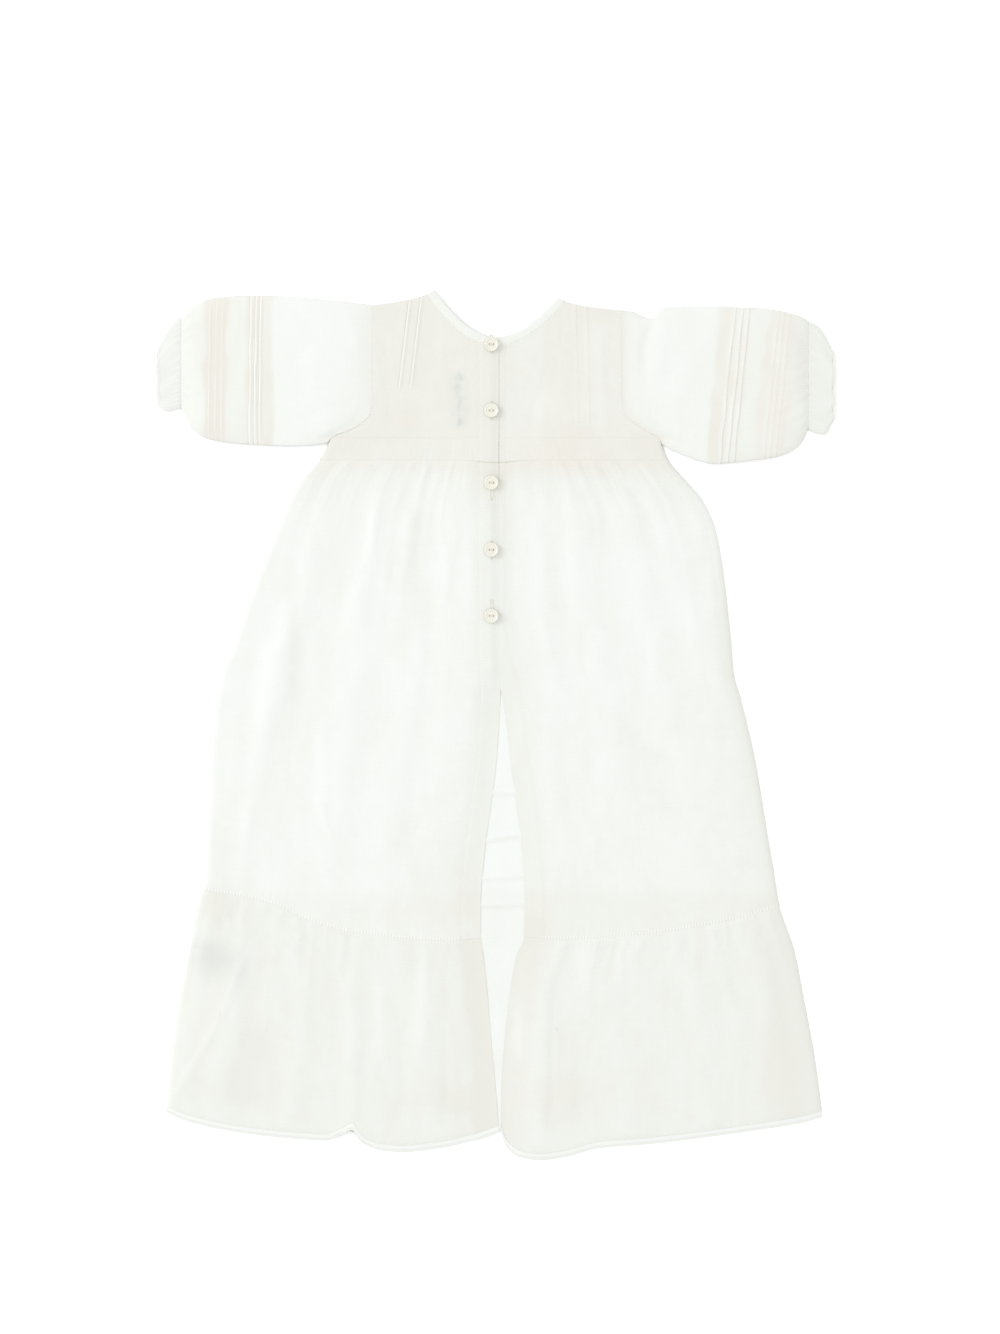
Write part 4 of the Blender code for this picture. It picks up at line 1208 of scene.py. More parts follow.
@dataclass(frozen=True)
class PearlShell:
    """Turned and polished shell: cream with faint cloudy growth rings and a soft gloss."""

    name: str = "mother-of-pearl shell, turned and polished"
    light: str = "DEDDD3"
    dark: str = "CDCABB"
    # Growth rings lie about 0.8 mm apart
    ring: float = 0.8

    def material(self) -> bpy.types.Material:
        """Mixes two creams by distorted bands and noise, with a clear coat's gloss.

        Returns:
            The material.
        """
        material, tree, shader = blank(self.name)
        place = add(tree, "TexCoord", {}, {}, "Object")
        rings = add(
            tree, "TexWave", {"wave_type": "BANDS", "bands_direction": "DIAGONAL"},
            {
                "Vector": place, "Scale": waves_per_metre(self.ring), "Distortion": 5.0,
                "Detail": 2.0, "Detail Scale": 0.7,
            },
            "Fac",
        )
        clouds = add(tree, "TexNoise", {}, {"Vector": place, "Scale": 420.0, "Detail": 3.0})
        share = add(tree, "Math", SUM_OF_SHARES, {0: rings, 1: 0.35, 2: 0.0})
        share = add(tree, "Math", {**SUM_OF_SHARES, **CLAMPED}, {0: clouds, 1: 0.6, 2: share})
        tones = {0: share, 6: linear(self.light), 7: linear(self.dark)}
        feed(tree, shader, {
            "Base Color": add(tree, "Mix", COLOURS, tones, MIXED),
            "Roughness": add(tree, "MapRange", {}, {0: clouds, 1: 0.3, 2: 0.7, 3: 0.22, 4: 0.4}),
            "Normal": add(
                tree, "Bump", {}, {"Height": rings, "Strength": 0.25, "Distance": 0.00008}
            ),
            "IOR": 1.53, "Coat Weight": 0.3,
        })
        return material


@dataclass(frozen=True)
class SewingThread:
    """Twisted cotton sewing thread: matt cream, with its twist as slanting bands of relief and painted
    shade.
    """

    name: str = "cotton sewing thread, twisted"
    light: str = "E3E2D9"
    dark: str = "CFCCBF"
    # One turn of the twist is about 0.5 mm
    twist: float = 0.5

    def material(self) -> bpy.types.Material:
        """Mixes two creams by slanting bands, which also make the relief; the darker cream in the
        grooves is painted shade.

        Returns:
            The material.
        """
        material, tree, shader = blank(self.name)
        place = add(tree, "TexCoord", {}, {}, "Object")
        bands = add(
            tree, "TexWave", {"wave_type": "BANDS", "bands_direction": "DIAGONAL"},
            {"Vector": place, "Scale": waves_per_metre(self.twist), "Distortion": 1.0}, "Fac",
        )
        # Painted shade: the grooves between the twist's turns get the darker cream.
        tones = {0: bands, 6: linear(self.dark), 7: linear(self.light)}
        feed(tree, shader, {
            "Base Color": add(tree, "Mix", COLOURS, tones, MIXED),
            "Normal": add(tree, "Bump", {}, {"Height": bands, "Strength": 0.6, "Distance": 0.0001}),
            "Roughness": 0.8,
        })
        return material


@dataclass(frozen=True)
class PaperFloor:
    """Smooth white studio paper."""

    name: str = "white studio paper"
    colour: str = "FCFCFC"

    def material(self) -> bpy.types.Material:
        """A matt white with a faint unevenness in its roughness.

        Returns:
            The material.
        """
        material, tree, shader = blank(self.name)
        place = add(tree, "TexCoord", {}, {}, "Object")
        fibre = add(tree, "TexNoise", {}, {"Vector": place, "Scale": 60.0, "Detail": 2.0})
        feed(tree, shader, {
            "Base Color": linear(self.colour),
            "Roughness": add(tree, "MapRange", {}, {0: fibre, 1: 0.0, 2: 1.0, 3: 0.9, 4: 1.0}),
            "Specular IOR Level": 0.0,
        })
        return material


class Finish(Enum):
    """The finishes of the garment's pieces."""

    LAWN = WovenCotton("cotton lawn, plain woven")
    FOLDED = WovenCotton("cotton lawn, plain woven, folded and stitched")
    PEARL = PearlShell()
    THREAD = SewingThread()
    PAPER = PaperFloor()


class Materials:
    """Makes each finish's material once."""

    made: dict[Finish, bpy.types.Material] = {}

    @classmethod
    def of(cls, finish: Finish) -> bpy.types.Material:
        """The material of a finish."""
        if finish not in cls.made:
            cls.made[finish] = finish.value.material()
        return cls.made[finish]


def span(
    x_at: XAt, top: Curve, low: Curve, across: Array, down: Array
) -> tuple[Array, Array]:
    """Places a panel's points between two seams.

    Each column meets both seams where its own line crosses them, found by putting the height
    back into the line a few times, and the rows go evenly from one crossing to the other.

    Args:
        x_at: x of the share across and y.
        top: the upper seam.
        low: the lower seam.
        across: the columns' shares.
        down: the rows' shares.

    Returns:
        x and y of the grid, as (rows, columns).
    """
    ends = []
    for seam in (top, low):
        y = np.zeros(np.shape(across))
        for _ in range(14):
            y = seam(x_at(across, y))
        ends.append(y)
    y = ends[0] + down[:, None] * (ends[1] - ends[0])
    return x_at(np.broadcast_to(across, y.shape), y), y


ALLOWANCE = 0.9  # a seam allowance that shows in no view, under the neighbouring panel
ALLOWANCE_SINK = 0.12


def from_side(count: int) -> Array:
    """Shares across a panel from its side edge, which is rounded and so has closer columns."""
    return np.concatenate([[0.0, 0.001, 0.003, 0.007, 0.012, 0.018], np.linspace(0.025, 1.0, count)])


def with_allowance(
    x: Array, y: Array, aside: float = 0.0
) -> tuple[Array, Array, Callable[[Array], Array]]:
    """Adds a seam allowance along a panel's upper edge, and along its last column if asked.

    Args:
        x: x of the grid.
        y: y of the grid.
        aside: how far the last column's allowance reaches in x, or 0 for none.

    Returns:
        x and y of the wider grid, and a function that sinks its heights there, so that the
        allowance lies under the neighbour.
    """
    x, y = np.vstack([x[:1], x]), np.vstack([y[:1] + ALLOWANCE, y])
    if aside:
        x, y = np.hstack([x, x[:, -1:] + aside]), np.hstack([y, y[:, -1:]])

    def sink(z: Array) -> Array:
        """The heights, with the allowance a little lower than the neighbour."""
        z = z.copy()
        z[0] -= ALLOWANCE_SINK
        if aside:
            z[1:, -1] -= ALLOWANCE_SINK
        return z

    return x, y, sink


def pleat(share: Array) -> Array:
    """The height across a pressed tuck: it eases up from its stitches and drops at its fold."""
    share = np.clip(share, 0.0, 1.0)
    return np.minimum(eased(share / 0.7), np.clip((1.0 - share) / 0.16, 0.0, 1.0))


@dataclass(frozen=True)
class BackCloth:
    """The shape and the plies of one half of the back, as functions of x and y."""

    half: Half
    crumple_height: float = 0.3
    crumple_size: float = 27.0
    fine_crumple: float = 0.06
    fold_share: float = 0.6  # the folds' heights in the tables are their fullest
    crease_share: float = 0.7  # and so are the bodice's
    side_start: float = 1.5  # below the waist, the relief starts this far in from the side
    side_fade: float = 9.0  # and is whole over this width
    placket_share: float = 0.2  # how much of it is left on the placket
    placket_fade: float = 14.0
    parted_from: float = 46.0  # the edges of the opening part below this y
    parted_fade: float = 26.0
    edge_drop: float = 1.2  # the upper edge of the closed opening lies this much lower
    edge_reach: float = 7.5
    parted_drop: float = 1.75  # and so do both of its edges where it stands open
    parted_reach: float = 24.0

    def rise(self, x: Array, y: Array) -> Array:
        """How far the left half climbs over the right placket.

        Args:
            x: places across.
            y: places along.

        Returns:
            The rise, which is 0 on the right half.
        """
        if self.half is RIGHT:
            return np.zeros(np.shape(x))
        near = eased((x - self.half.placket_seam(y)) / RISE_WIDTH + 1.0)
        return OVERLAP_RISE * near * eased((y - RISE_TO) / (RISE_FROM - RISE_TO))

    def relief(self, x: Array, y: Array) -> Array:
        """Gathers, folds and creases, before they die out along the edges.

        Args:
            x: places across.
            y: places along.

        Returns:
            Heights above the cloth at rest.
        """
        half = self.half
        inner, side = half.placket_seam(y), half.side(y)
        share = np.clip((x - inner) / (side - inner), 0.0, 1.0)
        below_waist, below_seam = waist_low(x) - y, flounce_seam(x) - y
        height = self.crumple_height * crumple(x, y, self.crumple_size, half.seed)
        height += self.fine_crumple * cloud(x, y, 7.0, 11.0, half.seed + 5)
        for rows, depth in (
            (SKIRT_GATHERS, below_waist), (ABOVE_WAIST_GATHERS, y - WAIST_LOW),
            (FLOUNCE_GATHERS, below_seam), (ABOVE_FLOUNCE_GATHERS, -below_seam),
        ):
            for row in rows:
                height += gathers(share, depth, row, half.seed)
        height += self.fold_share * folds_at(x, y, half.folds) * eased(below_waist / 6.0 + 0.5)
        return height + self.crease_share * folds_at(x, y, half.bodice_creases)

    def top(self, x: Array, y: Array) -> Array:
        """The upper face.

        The cloth lies on the front. Its relief dies out towards the placket, is rounded down at
        the side edge by a quarter circle, and comes down past the front's hem.

        Args:
            x: places across.
            y: places along.

        Returns:
            Heights above the surface.
        """
        half = self.half
        side, opening = half.side(y), half.opening(y)
        below_waist = eased((WAIST_TOP - 0.5 - y) / 7.0)
        in_from_side = np.abs(x - side)
        from_edge = np.abs(x - opening)
        at_side = 1.0 - eased((in_from_side - self.side_start) / self.side_fade)
        kept = 1.0 - at_side * below_waist
        closed = eased((y - RISE_TO) / 30.0)
        off_placket = eased((from_edge - PLACKET_WIDTH + 5.0) / self.placket_fade)
        at_placket = self.placket_share + (1.0 - self.placket_share) * off_placket
        kept = kept * (closed * at_placket + (1.0 - closed))
        relief = self.relief(x, y)
        parted = eased((self.parted_from - y) / self.parted_fade)
        open_drop = (self.parted_drop + self.rise(x, y)) * parted
        drop = open_drop * (1.0 - eased(from_edge / self.parted_reach))
        if half is LEFT:
            flatter = 0.35 * (1.0 - eased((y - 175.0) / 20.0))
            lapped = (self.edge_drop + flatter) * (1.0 - parted)
            drop = drop + lapped * (1.0 - eased(from_edge / self.edge_reach))
        full = BACK_TOP + self.rise(x, y) + relief * kept - drop
        turned = np.clip(in_from_side / SIDE_ROLL, 0.0, 1.0)
        rolled = 1.0 - (1.0 - np.sqrt(1.0 - (1.0 - turned) ** 2)) * below_waist
        hem, turn = half.hem(x), half.hem_turn(x)
        room = np.clip((hem_front(x) - HEM_CLEAR - hem) / HEM_ROOM, 0.0, 1.0)
        room = room * np.clip(np.abs(x) / OPENING_REST, 0.0, 1.0)
        at_hem = eased((turn - y) / (turn - hem)) * room
        down = EDGE_TOP + (full - EDGE_TOP) * rolled * (1.0 - at_hem)
        return down + 0.4 * relief * kept * rolled * at_hem

    def plies(self, x: Array, y: Array) -> tuple[Array, Array]:
        """How dense and how creamy the plies look.

        Bodice, waist and flounce have the most cloth. Soft patches are added on, some of them plies
        and some painted highlights and painted shade along folds, and so are painted shade along the
        right side edge, a painted lighter band along the left one, a facing on the left and the
        front's seam below.

        Args:
            x: places across.
            y: places along.

        Returns:
            dense and warm.
        """
        half, tones = self.half, self.half.tones
        below_waist, below_seam = waist_low(x) - y, flounce_seam(x) - y
        skirt, flounce = eased(below_waist / 2.0 + 0.5), eased(below_seam / 1.4 + 0.5)
        fading = np.exp(-np.maximum(below_waist - 5.0, 0.0) / 14.0)
        dense = tones.bodice * (1 - skirt) + skirt * (tones.skirt + 0.46 * fading)
        warm = 0.44 * (1 - skirt) + skirt * (0.1 + 0.46 * fading)
        beside = np.exp(-np.maximum(np.abs(x - half.opening(y)) - PLACKET_WIDTH, 0.0) / 6.0)
        dense += 0.26 * skirt * beside
        warm += 0.16 * skirt * beside
        dense += tones.flounce * flounce
        warm += 0.16 * flounce
        above = eased((FRONT_SEAM_GHOST + 4.0 - y) / 14.0) * (1.0 - flounce)
        dense += tones.above_flounce * above
        warm += 0.25 * above
        in_from_side = np.abs(x - half.side(y))
        lower = eased((165.0 - y) / 110.0)
        if half is LEFT:
            facing = eased((FACING_WIDTH - np.abs(x - half.opening(y))) / 1.0 + 0.5) * flounce
            # The facing is more plies; the lighter band along the left side edge is painted light.
            dense += 0.28 * facing - 0.14 * lower * np.exp(-in_from_side / 12.0)
            folded = eased((corner_fold(y) - x) / 1.6 + 0.5)
            turned_up = folded * eased((CORNER_FOLD[0].y - y) / 12.0)
            dense -= 0.14 * turned_up
            warm += 0.2 * turned_up
        else:
            # Painted shade along the right side edge, the side away from the light.
            dense += lower * (0.8 * np.exp(-in_from_side / 4.5) + 0.26 * np.exp(-in_from_side / 25.0))
        # Patches of plies, and painted highlights and painted shade along folds.
        for shade in half.shades:
            patch = bump_over(x - shade.x, shade.reach_x) * bump_over(y - shade.y, shade.reach_y)
            dense, warm = dense + shade.dense * patch, warm + 0.7 * shade.warm * patch
        uneven = 0.1 * cloud(x, y, 10.0, 30.0, half.seed + 31) + 0.06 * cloud(x, y, 5.0, 7.0, 33)
        return dense + uneven, warm + 0.5 * uneven

    def stain(self, x: Array, y: Array) -> Array:
        """A pencil squiggle and a bluish smudge on the left, and a speck on the right.

        Args:
            x: places across.
            y: places along.

        Returns:
            How strong the stains are, from 0 to 1.
        """
        if self.half is RIGHT:
            return 0.9 * bump_over(np.hypot(x - 47.7, y + 234.5), 0.9)
        on_line = bump_over(x - squiggle(y), 1.5)
        smear = 0.8 * bump_over(x + 27.6, 7.0)
        shown = eased((y - 226.0) / 8.0) * eased((276.0 - y) / 8.0)
        shown = shown * (0.35 + 0.25 * cloud(x, y, 3.0, 3.0, 71))
        smudge = bump_over(x + 216.5, 22.0) * bump_over(y + 180.8 + 0.2 * (x + 216.5), 15.0)
        smudge = smudge * (0.36 + 0.16 * cloud(x, y, 7.0, 5.0, 72))
        return (0.7 * on_line + smear) * shown + smudge

    def looks(self, x: Array, y: Array, seam: Array, stitch: Array, run: Array) -> Looks:
        """The looks of a panel of this half, with raised folds painted lighter and troughs painted
        darker.

        Args:
            x: places across.
            y: places along.
            seam: distance from the nearest seam.
            stitch: distance from the nearest row of stitches.
            run: distance along it.

        Returns:
            The looks.
        """
        dense, warm = self.plies(x, y)
        # Painted light: raised folds are drawn lighter and troughs darker.
        dense = dense - 0.1 * (self.relief(x, y) - 0.9)
        return Looks(dense, np.clip(warm, 0.0, 1.0), seam, stitch, run, self.stain(x, y))


@dataclass
class BackHalf:
    """One half of the back: bodice, waistband, skirt, flounce, and their bands."""

    cloth: BackCloth
    bodice_cut: tuple[float, float] = (100.0, 108.0)
    waistband_cut: tuple[float, float] = (124.0, 19.0)
    skirt_cut: tuple[float, float] = (222.0, 372.0)
    flounce_cut: tuple[float, float] = (285.0, 162.0)
    edging_cut: tuple[float, float] = (262.0, 4.6)
    binding_cut: tuple[float, float] = (66.0, 6.6)
    bodice_placket_cut: tuple[float, float] = (16.0, 96.0)
    skirt_placket_cut: tuple[float, float] = (16.0, 370.0)
    bodice_grid: tuple[int, int] = (112, 108)  # columns and rows, without the tucks'
    armhole_lap: float = 2.4  # how far the bodice runs on under the sleeve
    stitch_inset: float = 1.8  # from a band's edge to its stitches
    stitch_sink: float = 0.22
    fold_radius: float = 1.2  # of a band's folded edge
    fold_height: float = 0.3  # how much higher a band's two layers stand

    @property
    def half(self) -> Half:
        """The lines of this half."""
        return self.cloth.half

    def name(self, piece: str) -> str:
        """The node's name of one of this half's pieces."""
        return f"{piece}_{self.half.word}"

    def bodice(self) -> Sheet:
        """The bodice panel, with its pressed tucks along columns that lean with them, each tuck with a
        painted highlight on its fold and a painted shadow line beside it.

        Returns:
            The sheet.
        """
        half, cloth = self.half, self.cloth
        inner = float(half.placket_seam(np.array(WAIST_TOP)))
        outer = half.armhole_rows[-1].x
        straight = np.linspace(inner, outer, self.bodice_grid[0])
        for tuck in half.tucks:
            straight = np.append(straight, tuck.x + np.linspace(-2.2, 2.2, 13))
        straight = np.array(sorted(set(np.round(straight, 3)), key=abs))
        down = np.linspace(0.0, 1.0, self.bodice_grid[1])
        u = (straight - inner) / (outer - inner)
        top = half.bodice_top(straight)
        y = top + down[:, None] * (WAIST_TOP - top)
        x = half.widened(straight, y)
        away = np.clip(4.0 * u, 0.0, 1.0) * np.clip(6.0 * (1.0 - u), 0.0, 1.0)
        x = x + half.tucks[0].lean * (top - y) * away
        lap = half.sign * self.armhole_lap
        x = np.hstack([x[:, :1] - half.sign * ALLOWANCE, x, x[:, -1:] + lap])
        y, top = np.hstack([y[:, :1], y, y[:, -1:]]), np.hstack([top[:1], top, top[-1:]])
        straight = np.hstack([straight[:1], straight, straight[-1:]])
        z = cloth.top(np.where(np.abs(x) > np.abs(half.armhole(y)), half.armhole(y), x), y)
        z[:, [0, -1]] -= ALLOWANCE_SINK
        z[:, -1] -= 0.3
        tucked, crest, shadow = np.zeros((3, *y.shape))
        line = np.full(y.shape, FAR)
        for tuck in half.tucks:
            across = half.sign * (straight - tuck.x) / TUCK_WIDTH + 0.5
            shown = eased((y - tuck.end) / TUCK_END)
            if half is RIGHT:
                shown = shown * (0.3 + 0.5 * eased((y - 295.0) / 25.0))
            z = z + 0.55 * TUCK_HEIGHT * pleat(across) * shown
            tucked = tucked + bump_over(across - 0.35, 0.9) * shown
            # Painted light: crest is a painted highlight on each tuck's fold, shadow a painted shadow
            # beside it, and line a painted shadow line there, drawn as a seam's dark line.
            crest = crest + bump_over(across - 0.85, 0.17) * shown
            shadow = shadow + bump_over(across - 1.15, 0.18) * shown
            faint = 0.45 + 0.15 * cloud(y, x, 9.0, 40.0, 91) + 2.0 * (1.0 - shown)
            line = np.minimum(line, faint + np.abs(across - 1.12) * TUCK_WIDTH)
        seam = nearest(
            line,
            0.85 + np.abs(half.armhole(y) - x), 0.7 + np.abs(y - half.bodice_top(x)),
            0.95 + np.abs(x - inner), 0.88 + np.abs(y - WAIST_TOP),
        )
        stitch = nearest(y - half.bodice_top(x) + 1.6, half.armhole(y) - x - half.sign * 1.8)
        looks = cloth.looks(x, y, seam, stitch, y)
        # The tucks' painted highlights and painted shadows go into the colour here.
        looks = looks._replace(
            dense=looks.dense + 0.1 * tucked - 0.7 * crest + 0.9 * shadow,
            warm=np.clip(looks.warm + 0.2 * tucked + 0.3 * shadow, 0.0, 1.0),
        )
        node = self.name("bodice_back")
        return Sheet(node, (x, y, z), self.bodice_cut, looks, rests_on=("bodice_front",))

    def placket(self, piece: str, top: Curve, low: Curve, cut: tuple[float, float]) -> Sheet:
        """A folded band along the free edge, with stitches near both of its edges and a painted shadow
        line along its free edge.

        Args:
            piece: which band it is.
            top: its upper seam.
            low: its lower seam.
            cut: its flat width and length.

        Returns:
            The sheet.
        """
        half = self.half
        across = np.concatenate([[0.0, 0.02, 0.05], np.linspace(0.09, 1.0, 15)])
        down = np.linspace(0.0, 1.0, round(cut[1] / 1.4))
        width = PLACKET_WIDTH + GAP / 2
        x, y = span(
            lambda u, at: half.opening(at) + half.sign * u * width, top, low, across, down
        )
        x, y, sink = with_allowance(x, y)
        in_from_edge = np.abs(x - half.opening(y))
        over_fold = 1.0 - np.clip(in_from_edge / self.fold_radius, 0.0, 1.0)
        folded_over = 1.0 - np.sqrt(1.0 - over_fold**2)
        inset = self.stitch_inset
        stitch = nearest(in_from_edge - inset, in_from_edge - width + inset)
        stitched = self.stitch_sink * bump_over(stitch, 0.8)
        doubled = self.fold_height * eased((width - in_from_edge) / 2.5)
        if low is flounce_seam:
            doubled = doubled * eased((y - low(x)) / 6.0)
        z = sink(self.cloth.top(x, y) + doubled - 0.3 * folded_over - 0.4 * stitched)
        # Painted shadow: a dark line along the free edge, darker on the bodice's placket than on the
        # skirt's, and darkest on the left half about the waist.
        edge_shadow_line = (0.56 if low is waist_low else 0.85) + 0.0 * y
        if half is LEFT:
            edge_shadow_line -= 0.42 * eased((y - 184.0) / 8.0) * eased((228.0 - y) / 12.0)
        at_waist = 0.25 + np.abs(y - waist_low(x))
        seam = nearest(edge_shadow_line + in_from_edge, 0.95 + np.abs(in_from_edge - width), at_waist)
        looks = self.cloth.looks(x, y, seam, stitch, y)
        bodice = eased((y - WAIST_LOW) / 2.0 + 0.5)
        fading = np.exp(-np.maximum(waist_low(x) - y, 0.0) / 20.0)
        inner_edge = eased((width - in_from_edge) / 3.0) * bodice
        dense = looks.dense + (0.84 - looks.dense) * inner_edge
        dense = dense + 0.1 * (1.0 - bodice) * fading
        looks = looks._replace(dense=dense, warm=looks.warm + (0.6 - looks.warm) * bodice)
        rests_on = ("skirt_front", "flounce_front") if top is waist_low else ("bodice_front",)
        return Sheet(self.name(piece), (x, y, z), cut, looks, True, rests_on, FOLDED_LAWN)

    def neck_binding(self) -> Sheet:
        """The narrow band round the neck, rounded across and lighter than the bodice.

        Returns:
            The sheet.
        """
        half = self.half
        first = float(half.opening(np.array(NECK_LOW)))
        stations = np.linspace(first, NECK_MIDDLE + half.sign * NECK_HALF_WIDTH, 110)
        share = np.append(np.linspace(0.0, 1.0, 11), 1.14)[:, None]
        x, y = neck_points(stations, share * (BINDING_WIDTH + GAP / 2))
        rounded = 0.5 * (1.0 - (2.0 * share - 1.0) ** 4) + 0.05 * np.sin(stations * 2.1)
        z = self.cloth.top(x, y) + 0.05 + 0.8 * rounded * (share < 1.0) * (share > 0.0)
        z = z - ALLOWANCE_SINK * (share > 1.0)
        width = share * BINDING_WIDTH + 0.0 * stations
        seam = nearest(0.8 + width, 0.85 + np.abs(width - BINDING_WIDTH))
        looks = self.cloth.looks(x, y, seam, nearest(width - 4.6), np.hypot(x, y))
        looks = looks._replace(dense=0.4 + 0.08 * cloud(x, y, 4.0, 4.0, 52), warm=0.3 + 0 * x)
        return Sheet(
            self.name("neck_binding_back"), (x, y, z), self.binding_cut, looks, True,
            ("neck_binding_front", "bodice_front"), FOLDED_LAWN,
        )

    def panel(
        self, piece: str, inner: Curve, top: Curve, low: Curve, size: tuple[int, int],
        cut: tuple[float, float], rests_on: tuple[str, ...], folded: bool = False,
    ) -> Sheet:
        """A panel below the bodice, from the side edge to its inner edge.

        Args:
            piece: which panel it is.
            inner: x of its inner edge.
            top: its upper seam.
            low: its lower seam.
            size: how many columns and rows.
            cut: its flat width and length.
            rests_on: the nodes that it lies on.
            folded: whether it is a folded band.

        Returns:
            The sheet.
        """
        half, cloth = self.half, self.cloth

        def x_at(u: Array, y: Array) -> Array:
            """x of the share across and y."""
            side = half.side(y)
            return side + u * (inner(y) - side)

        down = np.linspace(0.0, 1.0, size[1])
        x, y = span(x_at, top, low, from_side(size[0]), down)
        free = inner == half.opening
        x, y, sink = with_allowance(x, y, 0.0 if free else -half.sign * ALLOWANCE)
        z = cloth.top(x, y)
        at_top, at_low = np.abs(y - top(x)), np.abs(y - low(x))
        seam, stitch = nearest(0.85 + at_top, 0.85 + at_low), at_low - 1.9
        # The waist seam's dark line, with painted shade in its crease that makes it darker near the
        # middle.
        waist_seam_shade = 0.2 + 0.75 * (1.0 - bump_over(x - 2.0, 21.0))
        if top is waist_low:
            z = z - 0.1 * bump_over(at_top, 1.2) - 0.12 * bump_over(at_low, 1.3)
            seam = nearest(waist_seam_shade + at_top, 0.85 + at_low, 0.95 + np.abs(x - inner(y)))
        elif top is flounce_seam:
            z = z - 0.15 * bump_over(at_top, 1.3)
            corner = np.abs(x - corner_fold(y)) + 0.6
            past_fold = (y > CORNER_FOLD[0].y) | (y < CORNER_FOLD[-1].y)
            corner = corner + FAR * (past_fold | (half is RIGHT))
            ghost = 0.85 + np.abs(y - hem_front(x))
            seam = nearest(0.78 + at_top, 0.9 + at_low, corner, ghost, 0.8 + np.abs(x - inner(y)))
            stitch = nearest(at_low - 1.9, at_top - 1.7)
        elif folded:
            along = at_top / EDGING_WIDTH
            z = z + 0.12 + 0.25 * bump_over(along - 0.3, 0.2) + 0.15 * bump_over(along - 0.75, 0.15)
            seam = nearest(0.62 + np.abs(along - 0.6) * EDGING_WIDTH, 0.7 + at_low)
            stitch = at_low + FAR
        else:
            z = z - 0.08 * bump_over(at_top, 1.2)
            seam, stitch = nearest(0.88 + at_top, waist_seam_shade + at_low), nearest(at_top - 1.6, at_low - 1.6)
        looks = cloth.looks(x, y, seam, stitch, x)
        if folded:
            # Painted highlight along the edging's rolled ridge, on a lighter band.
            edging_ridge_highlight = bump_over(at_top / EDGING_WIDTH - 0.24, 0.2)
            looks = looks._replace(dense=0.42 - 0.75 * edging_ridge_highlight, warm=0.2 + 0.0 * x)
        wall = FOLDED_LAWN if folded else LAWN
        return Sheet(self.name(piece), (x, y, sink(z)), cut, looks, folded, rests_on, wall)

    def build(self) -> list[Sheet]:
        """Builds every piece of this half.

        Returns:
            The sheets.
        """
        half = self.half
        edging_top: Curve = lambda x: half.hem(x) + EDGING_WIDTH + GAP / 2
        return [
            self.bodice(),
            self.placket("bodice_placket", neck_seam, waist_low, self.bodice_placket_cut),
            self.neck_binding(),
            self.panel(
                "waistband_back", half.placket_seam, waist_top, waist_low, (150, 15),
                self.waistband_cut, ("waistband_front",),
            ),
            self.panel(
                "skirt_back", half.placket_seam, waist_low, flounce_seam, (185, 165),
                self.skirt_cut, ("skirt_front",),
            ),
            self.placket("skirt_placket", waist_low, flounce_seam, self.skirt_placket_cut),
            self.panel(
                "flounce_back", half.opening, flounce_seam, edging_top, (195, 84),
                self.flounce_cut, ("flounce_front", "hem_edging_front"),
            ),
            self.panel(
                "hem_edging_back", half.opening, edging_top, half.hem, (195, 9),
                self.edging_cut, ("flounce_front",), True,
            ),
        ]


